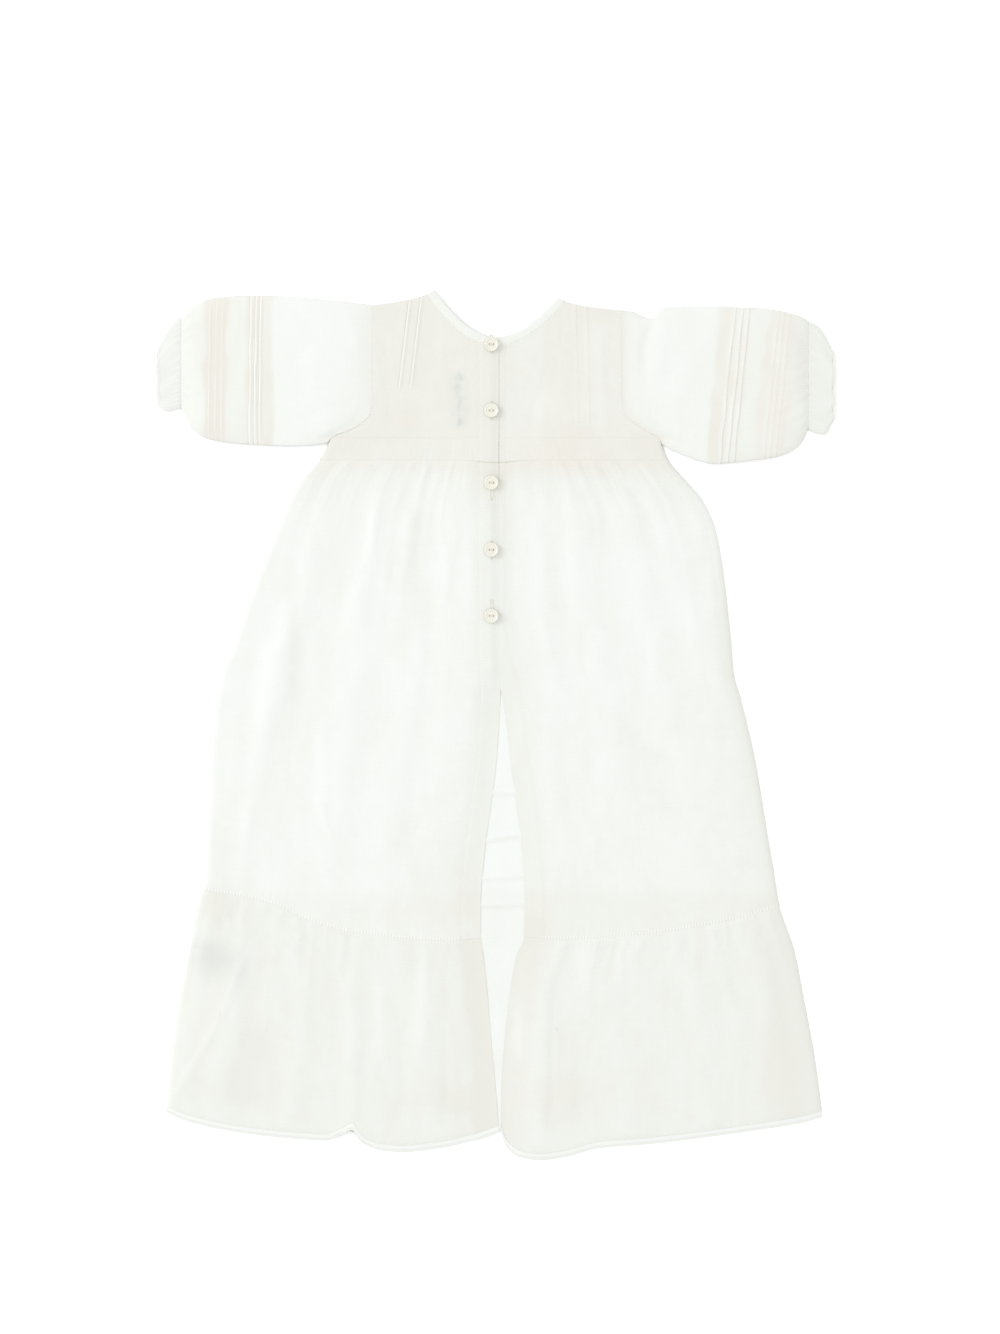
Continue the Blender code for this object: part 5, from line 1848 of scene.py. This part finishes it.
@dataclass
class FrontCloth:
    """The whole front, which lies flat on the surface under the back."""

    bodice_cut: tuple[float, float] = (206.0, 104.0)
    waistband_cut: tuple[float, float] = (262.0, 19.0)
    skirt_cut: tuple[float, float] = (460.0, 374.0)
    flounce_cut: tuple[float, float] = (560.0, 150.0)
    edging_cut: tuple[float, float] = (500.0, 4.6)
    binding_cut: tuple[float, float] = (136.0, 6.6)
    side_room: float = 3.7  # it ends inside the back's rounded side edges
    band_height: float = 0.15  # how much higher its folded bands stand

    def top(self, x: Array, y: Array) -> Array:
        """The upper face: flat, with small creases, and sharper ones inside the opening."""
        return FRONT_TOP + 0.25 * crumple(x, y, 24.0, 301) + 0.6 * folds_at(x, y, FRONT_CREASES)

    def looks(self, x: Array, y: Array, seam: Array) -> Looks:
        """A single ply on white, with shadows of the folds under it.

        Args:
            x: places across.
            y: places along.
            seam: distance from the nearest seam.

        Returns:
            The looks.
        """
        looks = plain_looks(x, y, 0.02, 0.05)
        creased = folds_at(x, y + 1.6, FRONT_CREASES[:4])
        below = eased((FRONT_SEAM_GHOST - y) / 2.0)
        shaded = 0.5 * np.clip(creased, 0.0, 1.0) + 0.15 * below
        return looks._replace(dense=looks.dense + shaded, seam=seam)

    def sheet(
        self, node: str, grid: tuple[Array, Array], cut: tuple[float, float], seam: Array,
        folded: bool = False,
    ) -> Sheet:
        """Makes one sheet of the front.

        Args:
            node: the node that it stands for.
            grid: x and y.
            cut: its flat width and length.
            seam: distance from the nearest seam.
            folded: whether it is a folded band.

        Returns:
            The sheet.
        """
        x, y = grid
        z = self.top(x, y) + (self.band_height if folded else 0.0)
        return Sheet(node, (x, y, z), cut, self.looks(x, y, seam), folded)

    def width(self, u: Array, y: Array) -> Array:
        """x of the share across and y, below the waist."""
        left, right = LEFT.side(y) + self.side_room, RIGHT.side(y) - self.side_room
        return left + u * (right - left)

    def panel(
        self, node: str, top: Curve, low: Curve, size: tuple[int, int],
        cut: tuple[float, float], folded: bool = False,
    ) -> Sheet:
        """A panel below the bodice, between two seams.

        Args:
            node: the node that it stands for.
            top: its upper seam.
            low: its lower seam.
            size: how many columns and rows.
            cut: its flat width and length.
            folded: whether it is a folded band.

        Returns:
            The sheet.
        """
        across, down = np.linspace(0.0, 1.0, size[0]), np.linspace(0.0, 1.0, size[1])
        x, y = span(self.width, top, low, across, down)
        seam = nearest(0.85 + np.abs(y - top(x)), 0.85 + np.abs(y - low(x)))
        return self.sheet(node, (x, y), cut, seam, folded)

    def bodice(self) -> Sheet:
        """The front bodice, from armhole to armhole, with its neck a little lower.

        Returns:
            The sheet.
        """
        straight = np.linspace(ARMHOLE_LEFT[-1].x, ARMHOLE_RIGHT[-1].x, 64)
        top = np.where(
            straight < NECK_MIDDLE,
            LEFT.bodice_top(straight, FRONT_NECK_DROP),
            RIGHT.bodice_top(straight, FRONT_NECK_DROP),
        )
        y = top + np.linspace(0.0, 1.0, 48)[:, None] * (WAIST_TOP - top)
        x = np.where(straight < 0.0, LEFT.widened(straight, y), RIGHT.widened(straight, y))
        seam = nearest(0.85 + np.abs(y - top), 0.85 + np.abs(y - WAIST_TOP))
        return self.sheet("bodice_front", (x, y), self.bodice_cut, seam)

    def neck_binding(self) -> Sheet:
        """The band round the front's neck.

        Returns:
            The sheet.
        """
        stations = np.linspace(
            NECK_MIDDLE - NECK_HALF_WIDTH, NECK_MIDDLE + NECK_HALF_WIDTH, 150
        )
        share = np.linspace(0.0, 1.0, 7)[:, None]
        x, y = neck_points(stations, share * (BINDING_WIDTH + GAP / 2), FRONT_NECK_DROP)
        seam = 0.8 + np.abs(share * BINDING_WIDTH + 0.0 * stations)
        return self.sheet("neck_binding_front", (x, y), self.binding_cut, seam, True)

    def build(self) -> list[Sheet]:
        """Builds every piece of the front.

        Returns:
            The sheets.
        """
        edging_top: Curve = lambda x: hem_front(x) + EDGING_WIDTH + GAP / 2
        level_low: Curve = lambda x: np.full(np.shape(x), WAIST_LOW)
        return [
            self.bodice(),
            self.neck_binding(),
            self.panel("waistband_front", waist_top, level_low, (60, 8), self.waistband_cut),
            self.panel("skirt_front", level_low, flounce_seam, (80, 200), self.skirt_cut),
            self.panel("flounce_front", flounce_seam, edging_top, (80, 60), self.flounce_cut),
            self.panel(
                "hem_edging_front", edging_top, hem_front, (80, 5), self.edging_cut, True
            ),
        ]


class Pressed(NamedTuple):
    """What a sleeve's tucks give each of its points.

    height is the relief with the tucks on it. doubled, crest and shadow go from 0 to 1: crest is a
    painted highlight on each fold and shadow a painted shadow beside it. line is the distance from
    the painted shadow lines drawn beside the folds.
    """

    height: Array
    doubled: Array
    crest: Array
    shadow: Array
    line: Array


@dataclass
class Sleeve:
    """A sleeve laid flat, with two groups of three pressed tucks, and the frill at its wrist."""

    half: Half
    sleeve_cut: tuple[float, float] = (232.0, 147.0)
    frill_cut: tuple[float, float] = (162.0, 20.0)
    sleeve_grid: tuple[int, int] = (126, 92)  # points round it and rings, without the tucks'
    frill_grid: tuple[int, int] = (240, 26)
    edge_share: float = 0.42  # its edges lie at this share of its height
    crown: float = 1.2  # how much fuller the sleeve stands than its plain section
    lap_from: float = 131.5  # nearer the middle than this, its lower edge laps over the bodice
    lap: float = 1.2
    lean_middle: float = 270.0  # the tucks lean about this y
    crease_share: float = 0.7  # the creases' heights in the table are their fullest
    crumple_height: float = 0.35
    crumple_size: float = 23.0
    join_reach: float = 13.0  # it comes down to the bodice over this width
    tuck_width: float = 3.0
    tuck_height: float = 0.65
    frill_waves: int = 7
    frill_lift: float = 0.7
    frill_swing: float = 0.45
    frill_hem: float = 1.4  # from its edge to its rolled hem

    def ring(
        self, turn: Array, top: Array, bottom: Array, height: Array
    ) -> tuple[Array, Array, Array]:
        """A flattened ring: level underneath, crowned above and round at both edges.

        The place across is a mix of an even one and a cosine, so that points are closer at the
        edges. The upper face stands by the root of 1 less its fourth power.

        Args:
            turn: the share of the way round, from the upper edge.
            top: y of the upper edge.
            bottom: y of the lower edge.
            height: the ring's height.

        Returns:
            y, z and how much of the upper side each point is on.
        """
        even = 2.0 * np.abs(2.0 * turn - 1.0) - 1.0
        place = 0.55 * even + 0.45 * np.cos(2 * math.pi * turn)
        above = np.sin(2 * math.pi * turn) >= 0
        crowned = np.sqrt(np.clip(1.0 - place**4, 0.0, 1.0))
        level = np.sqrt(np.clip(1.0 - place**12, 0.0, 1.0))
        y = (top + bottom) / 2 + (top - bottom) / 2 * place
        middle = self.edge_share * height
        z = middle + np.where(above, (height - middle) * crowned, -(middle - 0.05) * level)
        return y, z, np.where(above, np.maximum(1.0 - place**8, 1e-6), 0.0)

    def stations(self, wrist: float, end: float) -> Array:
        """x of the sleeve's rings, with more of them across each tuck.

        Args:
            wrist: x of its wrist.
            end: x of its armhole.

        Returns:
            The places, from the wrist inwards, with as many alike across as there are points.
        """
        at = np.linspace(wrist, end, self.sleeve_grid[1])
        for group in self.half.sleeve_tucks:
            for fold in group.folds:
                at = np.append(at, fold + np.linspace(-2.1, 2.1, 11))
        at = np.unique(np.round(at, 3))
        at = at[::-1] if self.half is RIGHT else at
        return np.broadcast_to(at[:, None], (len(at), self.sleeve_grid[0]))

    def pressed(
        self, x: Array, y: Array, straight: Array, edges: tuple[Array, Array], relief: Array
    ) -> Pressed:
        """The tucks: each group's doubled cloth has ragged edges, each fold wanders a little, and each
        fold gets a painted highlight on its crest and a painted shadow beside it.

        Args:
            x: places along the sleeve.
            y: places across it.
            straight: x before the tucks lean.
            edges: y of the upper and the lower edge.
            relief: the relief that the tucks stand on.

        Returns:
            What the tucks give.
        """
        half, (top, bottom) = self.half, edges
        doubled, crest, shadow = np.zeros((3, *x.shape))
        line = np.full(x.shape, FAR)
        # Painted shadow: the tucks' shadows and shadow lines are drawn darker towards their ends.
        end_shadow = np.exp(-(y - bottom) / 7.0) + 0.6 * np.exp(-(top - y) / 4.0)
        for number, group in enumerate(half.sleeve_tucks):
            ragged = (2.6 - number) * cloud(y, x, 12.0, 30.0, half.seed + 66 + number)
            into = (half.sign * (straight - group.inner) + ragged) / 4.5
            out_of = (half.sign * (group.outer - straight) + ragged) / 5.5
            doubled = np.maximum(doubled, eased(into + 0.5) * eased(out_of + 0.5))
            for fold in group.folds:
                line_x = fold + 0.45 * cloud(y, x, 16.0, 60.0, int(abs(fold)))
                across = half.sign * (straight - line_x) / self.tuck_width + 0.5
                shown = 0.75 + 0.25 * cloud(y, x, 13.0, 9.0, int(abs(fold)) + 9)
                shown = shown * (0.45 if number == 0 else 1.0)
                relief = relief + self.tuck_height * pleat(across) * shown
                # Painted highlight on each fold's crest, and a painted shadow and painted shadow line
                # beside it.
                crest = np.maximum(crest, bump_over(across - 0.85, 0.16) * shown)
                faint = 0.84 - 0.18 * number - 0.3 * np.minimum(end_shadow, 1.0)
                line = np.minimum(line, faint + np.abs(across - 1.14) * self.tuck_width)
                shadow = np.maximum(shadow, bump_over(across - 1.12, 0.15) * (shown + end_shadow))
        return Pressed(relief, doubled, crest, shadow, line)

    def sleeve(self) -> Sheet:
        """The sleeve, as a tube with its tucks, its gathers at the wrist, and soft creases.

        Its rings lean with the tucks, found by putting their y back into their x.

        Returns:
            The sheet.
        """
        half = self.half
        wrist, end = half.sleeve[0].x, half.armhole_rows[-1].x - half.sign * 0.25
        straight = self.stations(wrist, end)
        turn = np.linspace(0.0, 1.0, self.sleeve_grid[0] + 1)[:-1]
        leaning = half.sleeve_lean * eased((np.abs(straight) - 150.0) / 25.0)
        leaning = leaning * eased(np.abs(straight - wrist) / 15.0)
        x = straight
        for _ in range(2):
            top, height = (curve(half.sleeve, "x", key)(x) for key in ("top", "height"))
            lapped = eased((self.lap_from - np.abs(x)) / 3.0)
            beside = x + 1.4 * half.sign * lapped
            bottom = curve(half.sleeve, "x", "bottom")(beside) - self.lap * lapped
            from_wrist = np.abs(x - wrist)
            fuller = self.crown * eased((np.abs(x) - 100.0) / 30.0) * eased(from_wrist / 16.0)
            y, z, upper = self.ring(turn, top, bottom, height + fuller)
            x = straight + leaning * (y - self.lean_middle)
        from_wrist = np.abs(x - wrist)
        share = np.clip((y - bottom) / (top - bottom), 0.0, 1.0)
        at_armhole = half.sign * (x - half.armhole(y))
        relief = np.zeros(x.shape)
        for rows, depth in ((WRIST_GATHERS, from_wrist), (ARMHOLE_GATHERS, np.abs(x - end))):
            for row in rows:
                relief += gathers(share, depth, row, half.seed)
        relief += self.crease_share * folds_at(x, y, half.sleeve_creases)
        relief += self.crumple_height * crumple(x, y, self.crumple_size, half.seed + 63)
        tucks = self.pressed(x, y, straight, (top, bottom), relief)
        z = z + tucks.height * upper
        joined = (1.0 - eased(at_armhole / self.join_reach)) * (upper > 0)
        level = BackCloth(half).top(half.armhole(y), np.maximum(y, WAIST_TOP)) + 0.06
        z = z + (level - z) * joined
        patches = 0.5 + 0.5 * cloud(x, y, 9.0, 24.0, half.seed + 65)
        past = eased((np.abs(straight) - abs(half.sleeve_tucks[0].outer)) / 3.0)
        between = eased((np.abs(straight) - abs(half.sleeve_tucks[1].outer)) / 2.0)
        between = between * (1.0 - past)
        near_bodice = np.exp(-np.maximum(at_armhole, 0.0) / 9.0)
        doubled = tucks.doubled
        dense = half.tones.sleeve + 0.46 * doubled + 0.3 * doubled * (patches - 0.5)
        dense = dense + half.tones.between_tucks * between * (1.0 - doubled)
        dense = dense + past * (0.2 + 0.35 * (patches - 0.4))
        if half is LEFT:
            dense = dense + 0.36 * eased((np.abs(straight) - 204.0) / 3.0) * doubled
        # Painted highlights on the tucks' crests and painted shadows beside them.
        dense = dense - 1.3 * tucks.crest + 0.7 * tucks.shadow + 0.5 * near_bodice
        dense = dense + 0.08 * cloud(x, y, 11.0, 30.0, half.seed + 64)
        warm = 0.06 + doubled * (0.25 + 0.65 * patches) + 0.3 * between + 0.35 * past
        warm = warm + 0.45 * near_bodice + 0.3 * tucks.shadow
        seam = nearest(tucks.line, 0.8 + from_wrist, 0.9 + np.abs(at_armhole))
        # Painted light: higher cloth is drawn a little lighter and lower cloth a little darker.
        looks = Looks(
            dense - 0.06 * (tucks.height - 0.6), np.clip(warm, 0.0, 1.0), seam,
            nearest(from_wrist - 1.6, at_armhole - 1.8), y, 0.0 * x,
        )
        return Sheet(f"sleeve_{half.word}", (x, y, z), self.sleeve_cut, looks, round_about=True)

    def frill(self) -> Sheet:
        """The frill past the wrist: gathers at its seam open into waves at its edge.

        Returns:
            The sheet.
        """
        half = self.half
        start, reach = half.sleeve[0].x, half.frill[-1].out
        count, rows = self.frill_grid
        out = np.linspace(0.0, reach, rows)[:, None] + np.zeros(count)
        turn = np.linspace(0.0, 1.0, count + 1)[:-1]
        spread = out / reach
        top, bottom = curve(half.frill, "out", "top")(out), curve(half.frill, "out", "bottom")(out)
        low, high = half.sleeve[0].height, half.sleeve[1].height
        y, z, upper = self.ring(turn, top, bottom, low + (high - low) * spread)
        uneven = turn + 0.02 * np.sin(2 * math.pi * 3 * turn + half.seed)
        wave = np.sin(2 * math.pi * self.frill_waves * uneven)
        fine = np.sin(2 * math.pi * 31 * uneven + 1.3) * bump_over(spread, 0.45)
        lift = spread**0.8 * (0.5 + 0.5 * wave) * self.frill_lift + 0.12 * (1.0 + fine)
        hemmed = 0.3 * bump_over(out - reach + self.frill_hem, 0.7)
        z = z + (lift + hemmed) * upper - 0.5 * bump_over(out, 0.6) * (upper > 0.0)
        tucked_in = bump_over(out, 0.6)
        x = start + half.sign * (out - tucked_in + self.frill_swing * spread * wave)
        shade = 0.1 * fine - 0.14 * wave * spread
        dense = half.tones.frill + shade + 0.2 * np.exp(-out / 3.0)
        looks = Looks(
            dense, 0.1 + 0.0 * x, nearest(0.8 + out, 0.85 + np.abs(out - reach + 2.2)),
            np.abs(out - reach + 1.6), y, 0.0 * x,
        )
        node = f"sleeve_frill_{half.word}"
        return Sheet(node, (x, y, z), self.frill_cut, looks, round_about=True)

    def build(self) -> list[Sheet]:
        """Builds the sleeve and its frill."""
        return [self.sleeve(), self.frill()]


def closed_surface(
    name: str, points: Array, material: bpy.types.Material, closed_ends: bool = False
) -> bpy.types.Object:
    """A surface that closes on itself across its columns.

    Args:
        name: the piece's name.
        points: the grid, as (3, rows, columns).
        material: its material.
        closed_ends: whether its last row joins its first.

    Returns:
        The object, with its doubled points merged and its faces outwards.
    """
    places = points.reshape(3, -1).T * MM
    index = np.arange(len(places)).reshape(points.shape[1:])
    index = np.concatenate([index, index[:, :1]], axis=1)
    if closed_ends:
        index = np.concatenate([index, index[:1]], axis=0)
    mesh = bpy.data.meshes.new(name)
    mesh.from_pydata(places, [], corners(index))
    work = bmesh.new()
    work.from_mesh(mesh)
    bmesh.ops.remove_doubles(work, verts=work.verts[:], dist=1e-7)
    bmesh.ops.dissolve_degenerate(work, edges=work.edges[:], dist=1e-8)
    bmesh.ops.recalc_face_normals(work, faces=work.faces[:])
    work.to_mesh(mesh)
    work.free()
    mesh.materials.append(material)
    mesh.shade_smooth()
    return placed(name, mesh)


@dataclass
class Button:
    """A two-hole shell button, its thread, and the worked buttonhole that it came through."""

    place: str
    y: float
    slit_offset: float
    radius: float = 5.5
    height: float = 2.0
    dish: float = 0.5
    rim: float = 1.5
    hole_radius: float = 0.62
    hole_spacing: float = 2.8
    hole_depth: float = 1.3
    thread_radius: float = 0.26
    strands: tuple[float, float] = (-0.28, 0.27)  # how far each one lies from the middle
    arch: float = 0.42
    slit_half_length: float = 7.0
    slit_half_width: float = 0.95
    slit_stitches: int = 60
    slit_thread: float = 0.34
    slit_beat: float = 0.07  # how much thicker each stitch is in its middle

    def shell(self) -> bpy.types.Object:
        """The button, as a turned profile with two deep round pits for its holes.

        Returns:
            The piece.
        """
        flat = self.radius - self.rim
        top, low = self.height, self.height - self.dish
        face = [(r, low) for r in np.linspace(0.0, flat - 0.5, 24)]
        face += [(flat - 0.3, low + 0.08), (flat, low + 0.25), (flat + 0.25, top - 0.08)]
        face += [(flat + 0.45, top), (flat + 0.75, top + 0.02), (self.radius - 0.5, top - 0.05)]
        face += [(self.radius - 0.15, top - 0.35), (self.radius, top - 0.8), (self.radius, 0.7)]
        face += [(self.radius - 0.2, 0.25), (self.radius - 0.8, 0.0), (0.0, 0.0)]
        r, z = (np.array(column)[:, None] for column in zip(*face))
        turn = np.linspace(0.0, 2 * math.pi, 97)[:-1]
        x, y, z = r * np.cos(turn), r * np.sin(turn), z + 0.0 * turn
        for side in (-1, 1):
            away = np.hypot(x - side * self.hole_spacing / 2, y)
            pit = np.exp(-((away / self.hole_radius) ** 6)) * (z > 0.5)
            z = z - self.hole_depth * pit
        points = np.stack([x + BUTTON_X, y + self.y, z + BUTTON_SEAT])
        return closed_surface(f"button_{self.place}_shell", points, Materials.of(Finish.PEARL))

    def tube(self, name: str, path: Array, radius: Array, loop: bool) -> bpy.types.Object:
        """A round thread along a path: a ring across each of the path's tangents.

        Args:
            name: the piece's name.
            path: points, as (3, count).
            radius: the radius at each point.
            loop: whether the path closes.

        Returns:
            The piece.
        """
        if loop:
            tangent = np.roll(path, -1, axis=1) - np.roll(path, 1, axis=1)
        else:
            tangent = np.gradient(path, axis=1)
        tangent /= np.linalg.norm(tangent, axis=0)
        up = np.array([0.0, 0.0, 1.0])[:, None]
        aside = np.cross(tangent.T, (up + 0.0 * tangent).T).T
        aside /= np.linalg.norm(aside, axis=0)
        over = np.cross(aside.T, tangent.T).T
        turn = np.linspace(0.0, 2 * math.pi, 9)[:-1]
        rings = path[:, :, None] + radius[None, :, None] * (
            aside[:, :, None] * np.cos(turn) + over[:, :, None] * np.sin(turn)
        )
        if not loop:
            rings = np.concatenate([path[:, :1, None] + 0 * rings[:, :1], rings], axis=1)
            rings = np.concatenate([rings, path[:, -1:, None] + 0 * rings[:, :1]], axis=1)
        return closed_surface(name, rings, Materials.of(Finish.THREAD), closed_ends=loop)

    def thread(self) -> list[bpy.types.Object]:
        """Two strands that arch from hole to hole.

        Returns:
            The pieces.
        """
        share = np.linspace(-1.0, 1.0, 25)
        low = BUTTON_SEAT + self.height - self.dish
        made = []
        for k, aside in enumerate(self.strands):
            path = np.stack([
                BUTTON_X + 0.55 * self.hole_spacing * share,
                self.y + aside + 0.08 * np.sin(3.0 * share),
                low + self.arch - self.hole_depth * share**6,
            ])
            name = f"button_{self.place}_thread_{k + 1}"
            made.append(self.tube(name, path, np.full(25, self.thread_radius), False))
        return made

    def buttonhole(self, cloth: BackCloth) -> bpy.types.Object:
        """Close stitches round the slit: a rounded loop whose thickness beats at each stitch.

        Args:
            cloth: the left half's shape, which it lies on.

        Returns:
            The piece.
        """
        turn = np.linspace(0.0, 2 * math.pi, 241)[:-1]
        along, across = np.sin(turn), np.cos(turn)
        y = self.y + self.slit_offset + self.slit_half_length * along
        x = BUTTON_X + self.slit_half_width * np.sign(across) * np.abs(across) ** 0.4
        z = cloth.top(x, y) + 0.3
        radius = self.slit_thread + self.slit_beat * np.sin(self.slit_stitches * turn)
        return self.tube(f"buttonhole_{self.place}", np.stack([x, y, z]), radius, True)


@dataclass
class Studio:
    """White paper under the garment, even white light, and a soft light from the left."""

    image_size: tuple[int, int] = (1000, 1334)
    pixel: float = 0.77  # millimetres of the garment
    centre: tuple[float, float] = (3.85, 45.05)
    lens: float = 85.0
    sensor: float = 36.0
    clip: tuple[float, float] = (0.01, 100.0)
    even_light: float = 1.2
    key_light: float = 0.15
    key_distance: float = 6.0
    key_elevation: float = 34.0
    key_azimuth: float = 158.0  # from the right, turning to the left: left and a little above
    key_size: float = 2.2
    floor_half: float = 8.0

    def camera(self) -> None:
        """A camera that looks straight down and takes in the photo's frame.

        Its height is half the frame's longer side over the tangent of half its angle.
        """
        data = bpy.data.cameras.new("camera")
        data.lens, data.sensor_width = self.lens, self.sensor
        height = self.image_size[1] * self.pixel / 2 / (self.sensor / 2 / self.lens)
        data.clip_start, data.clip_end = self.clip
        made = placed("camera", data)
        made.location = (self.centre[0] * MM, self.centre[1] * MM, height * MM)
        bpy.context.scene.camera = made

    def floor(self) -> None:
        """A wide level sheet of paper."""
        half = self.floor_half
        ends = np.array([[-half, -half], [half, -half], [half, half], [-half, half]])
        mesh = bpy.data.meshes.new("floor")
        mesh.from_pydata(np.column_stack([ends, np.zeros(4)]), [], [(0, 1, 2, 3)])
        mesh.materials.append(Materials.of(Finish.PAPER))
        placed("floor", mesh)

    def lights(self) -> None:
        """Even light from all round, and a soft area light.

        A share of light is what a level white surface gives back. The area light's power for it
        is the share times pi squared times its distance squared over the sine of its elevation.
        """
        world = bpy.data.worlds.new("even light")
        world.use_nodes = True
        background = world.node_tree.nodes["Background"]
        background.inputs["Color"].default_value = (1.0, 1.0, 1.0, 1.0)
        background.inputs["Strength"].default_value = self.even_light
        bpy.context.scene.world = world
        elevation, azimuth = math.radians(self.key_elevation), math.radians(self.key_azimuth)
        data = bpy.data.lights.new("key light", "AREA")
        data.shape, data.size = "DISK", self.key_size
        data.energy = self.key_light * math.pi**2 * self.key_distance**2 / math.sin(elevation)
        made = placed("key light", data)
        level = self.key_distance * math.cos(elevation)
        made.location = (
            level * math.cos(azimuth), level * math.sin(azimuth),
            self.key_distance * math.sin(elevation),
        )
        made.rotation_euler = (0.0, math.pi / 2 - elevation, azimuth)

    def build(self) -> None:
        """Sets up the view, the floor and the lights, and shows white as white."""
        self.camera()
        self.floor()
        self.lights()
        bpy.context.scene.view_settings.view_transform = "Standard"


def main() -> None:
    """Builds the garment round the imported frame, piece by piece, and then the studio."""
    logging.basicConfig(level=logging.INFO, format="%(message)s")
    log = logging.getLogger("christening dress")
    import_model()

    sheets = FrontCloth().build()
    for cloth in (BackCloth(LEFT), BackCloth(RIGHT, crumple_height=0.22)):
        sheets += BackHalf(cloth).build() + Sleeve(cloth.half).build()
    pieces = {sheet.node: sheet.build() for sheet in sheets}
    bands = {
        f"{panel}_{part}": [pieces[f"{band}_{part}"]]
        for part in ("front", "back_left", "back_right")
        for panel, band in (("bodice", "neck_binding"), ("flounce", "hem_edging"))
    }
    for sheet in sheets:
        made = pieces[sheet.node]
        sheet.declare(made, bands.get(sheet.node, []))
        log.info("%s: %d points", made.name, len(made.data.vertices))

    overlap = BackCloth(LEFT)
    buttons = (
        Button("neck", 293.0, 0.0),
        Button("bodice", 242.2, 0.0),
        Button("waist", 186.7, -6.0),
        Button("skirt", 135.1, 0.0),
        Button("low", 84.3, 6.0),
    )
    for button in buttons:
        shell = button.shell()
        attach(shell, "root")
        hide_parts(f"button_{button.place}")
        for piece in (*button.thread(), button.buttonhole(overlap)):
            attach(piece, "root")
        log.info("%s: its shell, thread and buttonhole", shell.name)

    Studio().build()


if __name__ == "__main__":
    main()
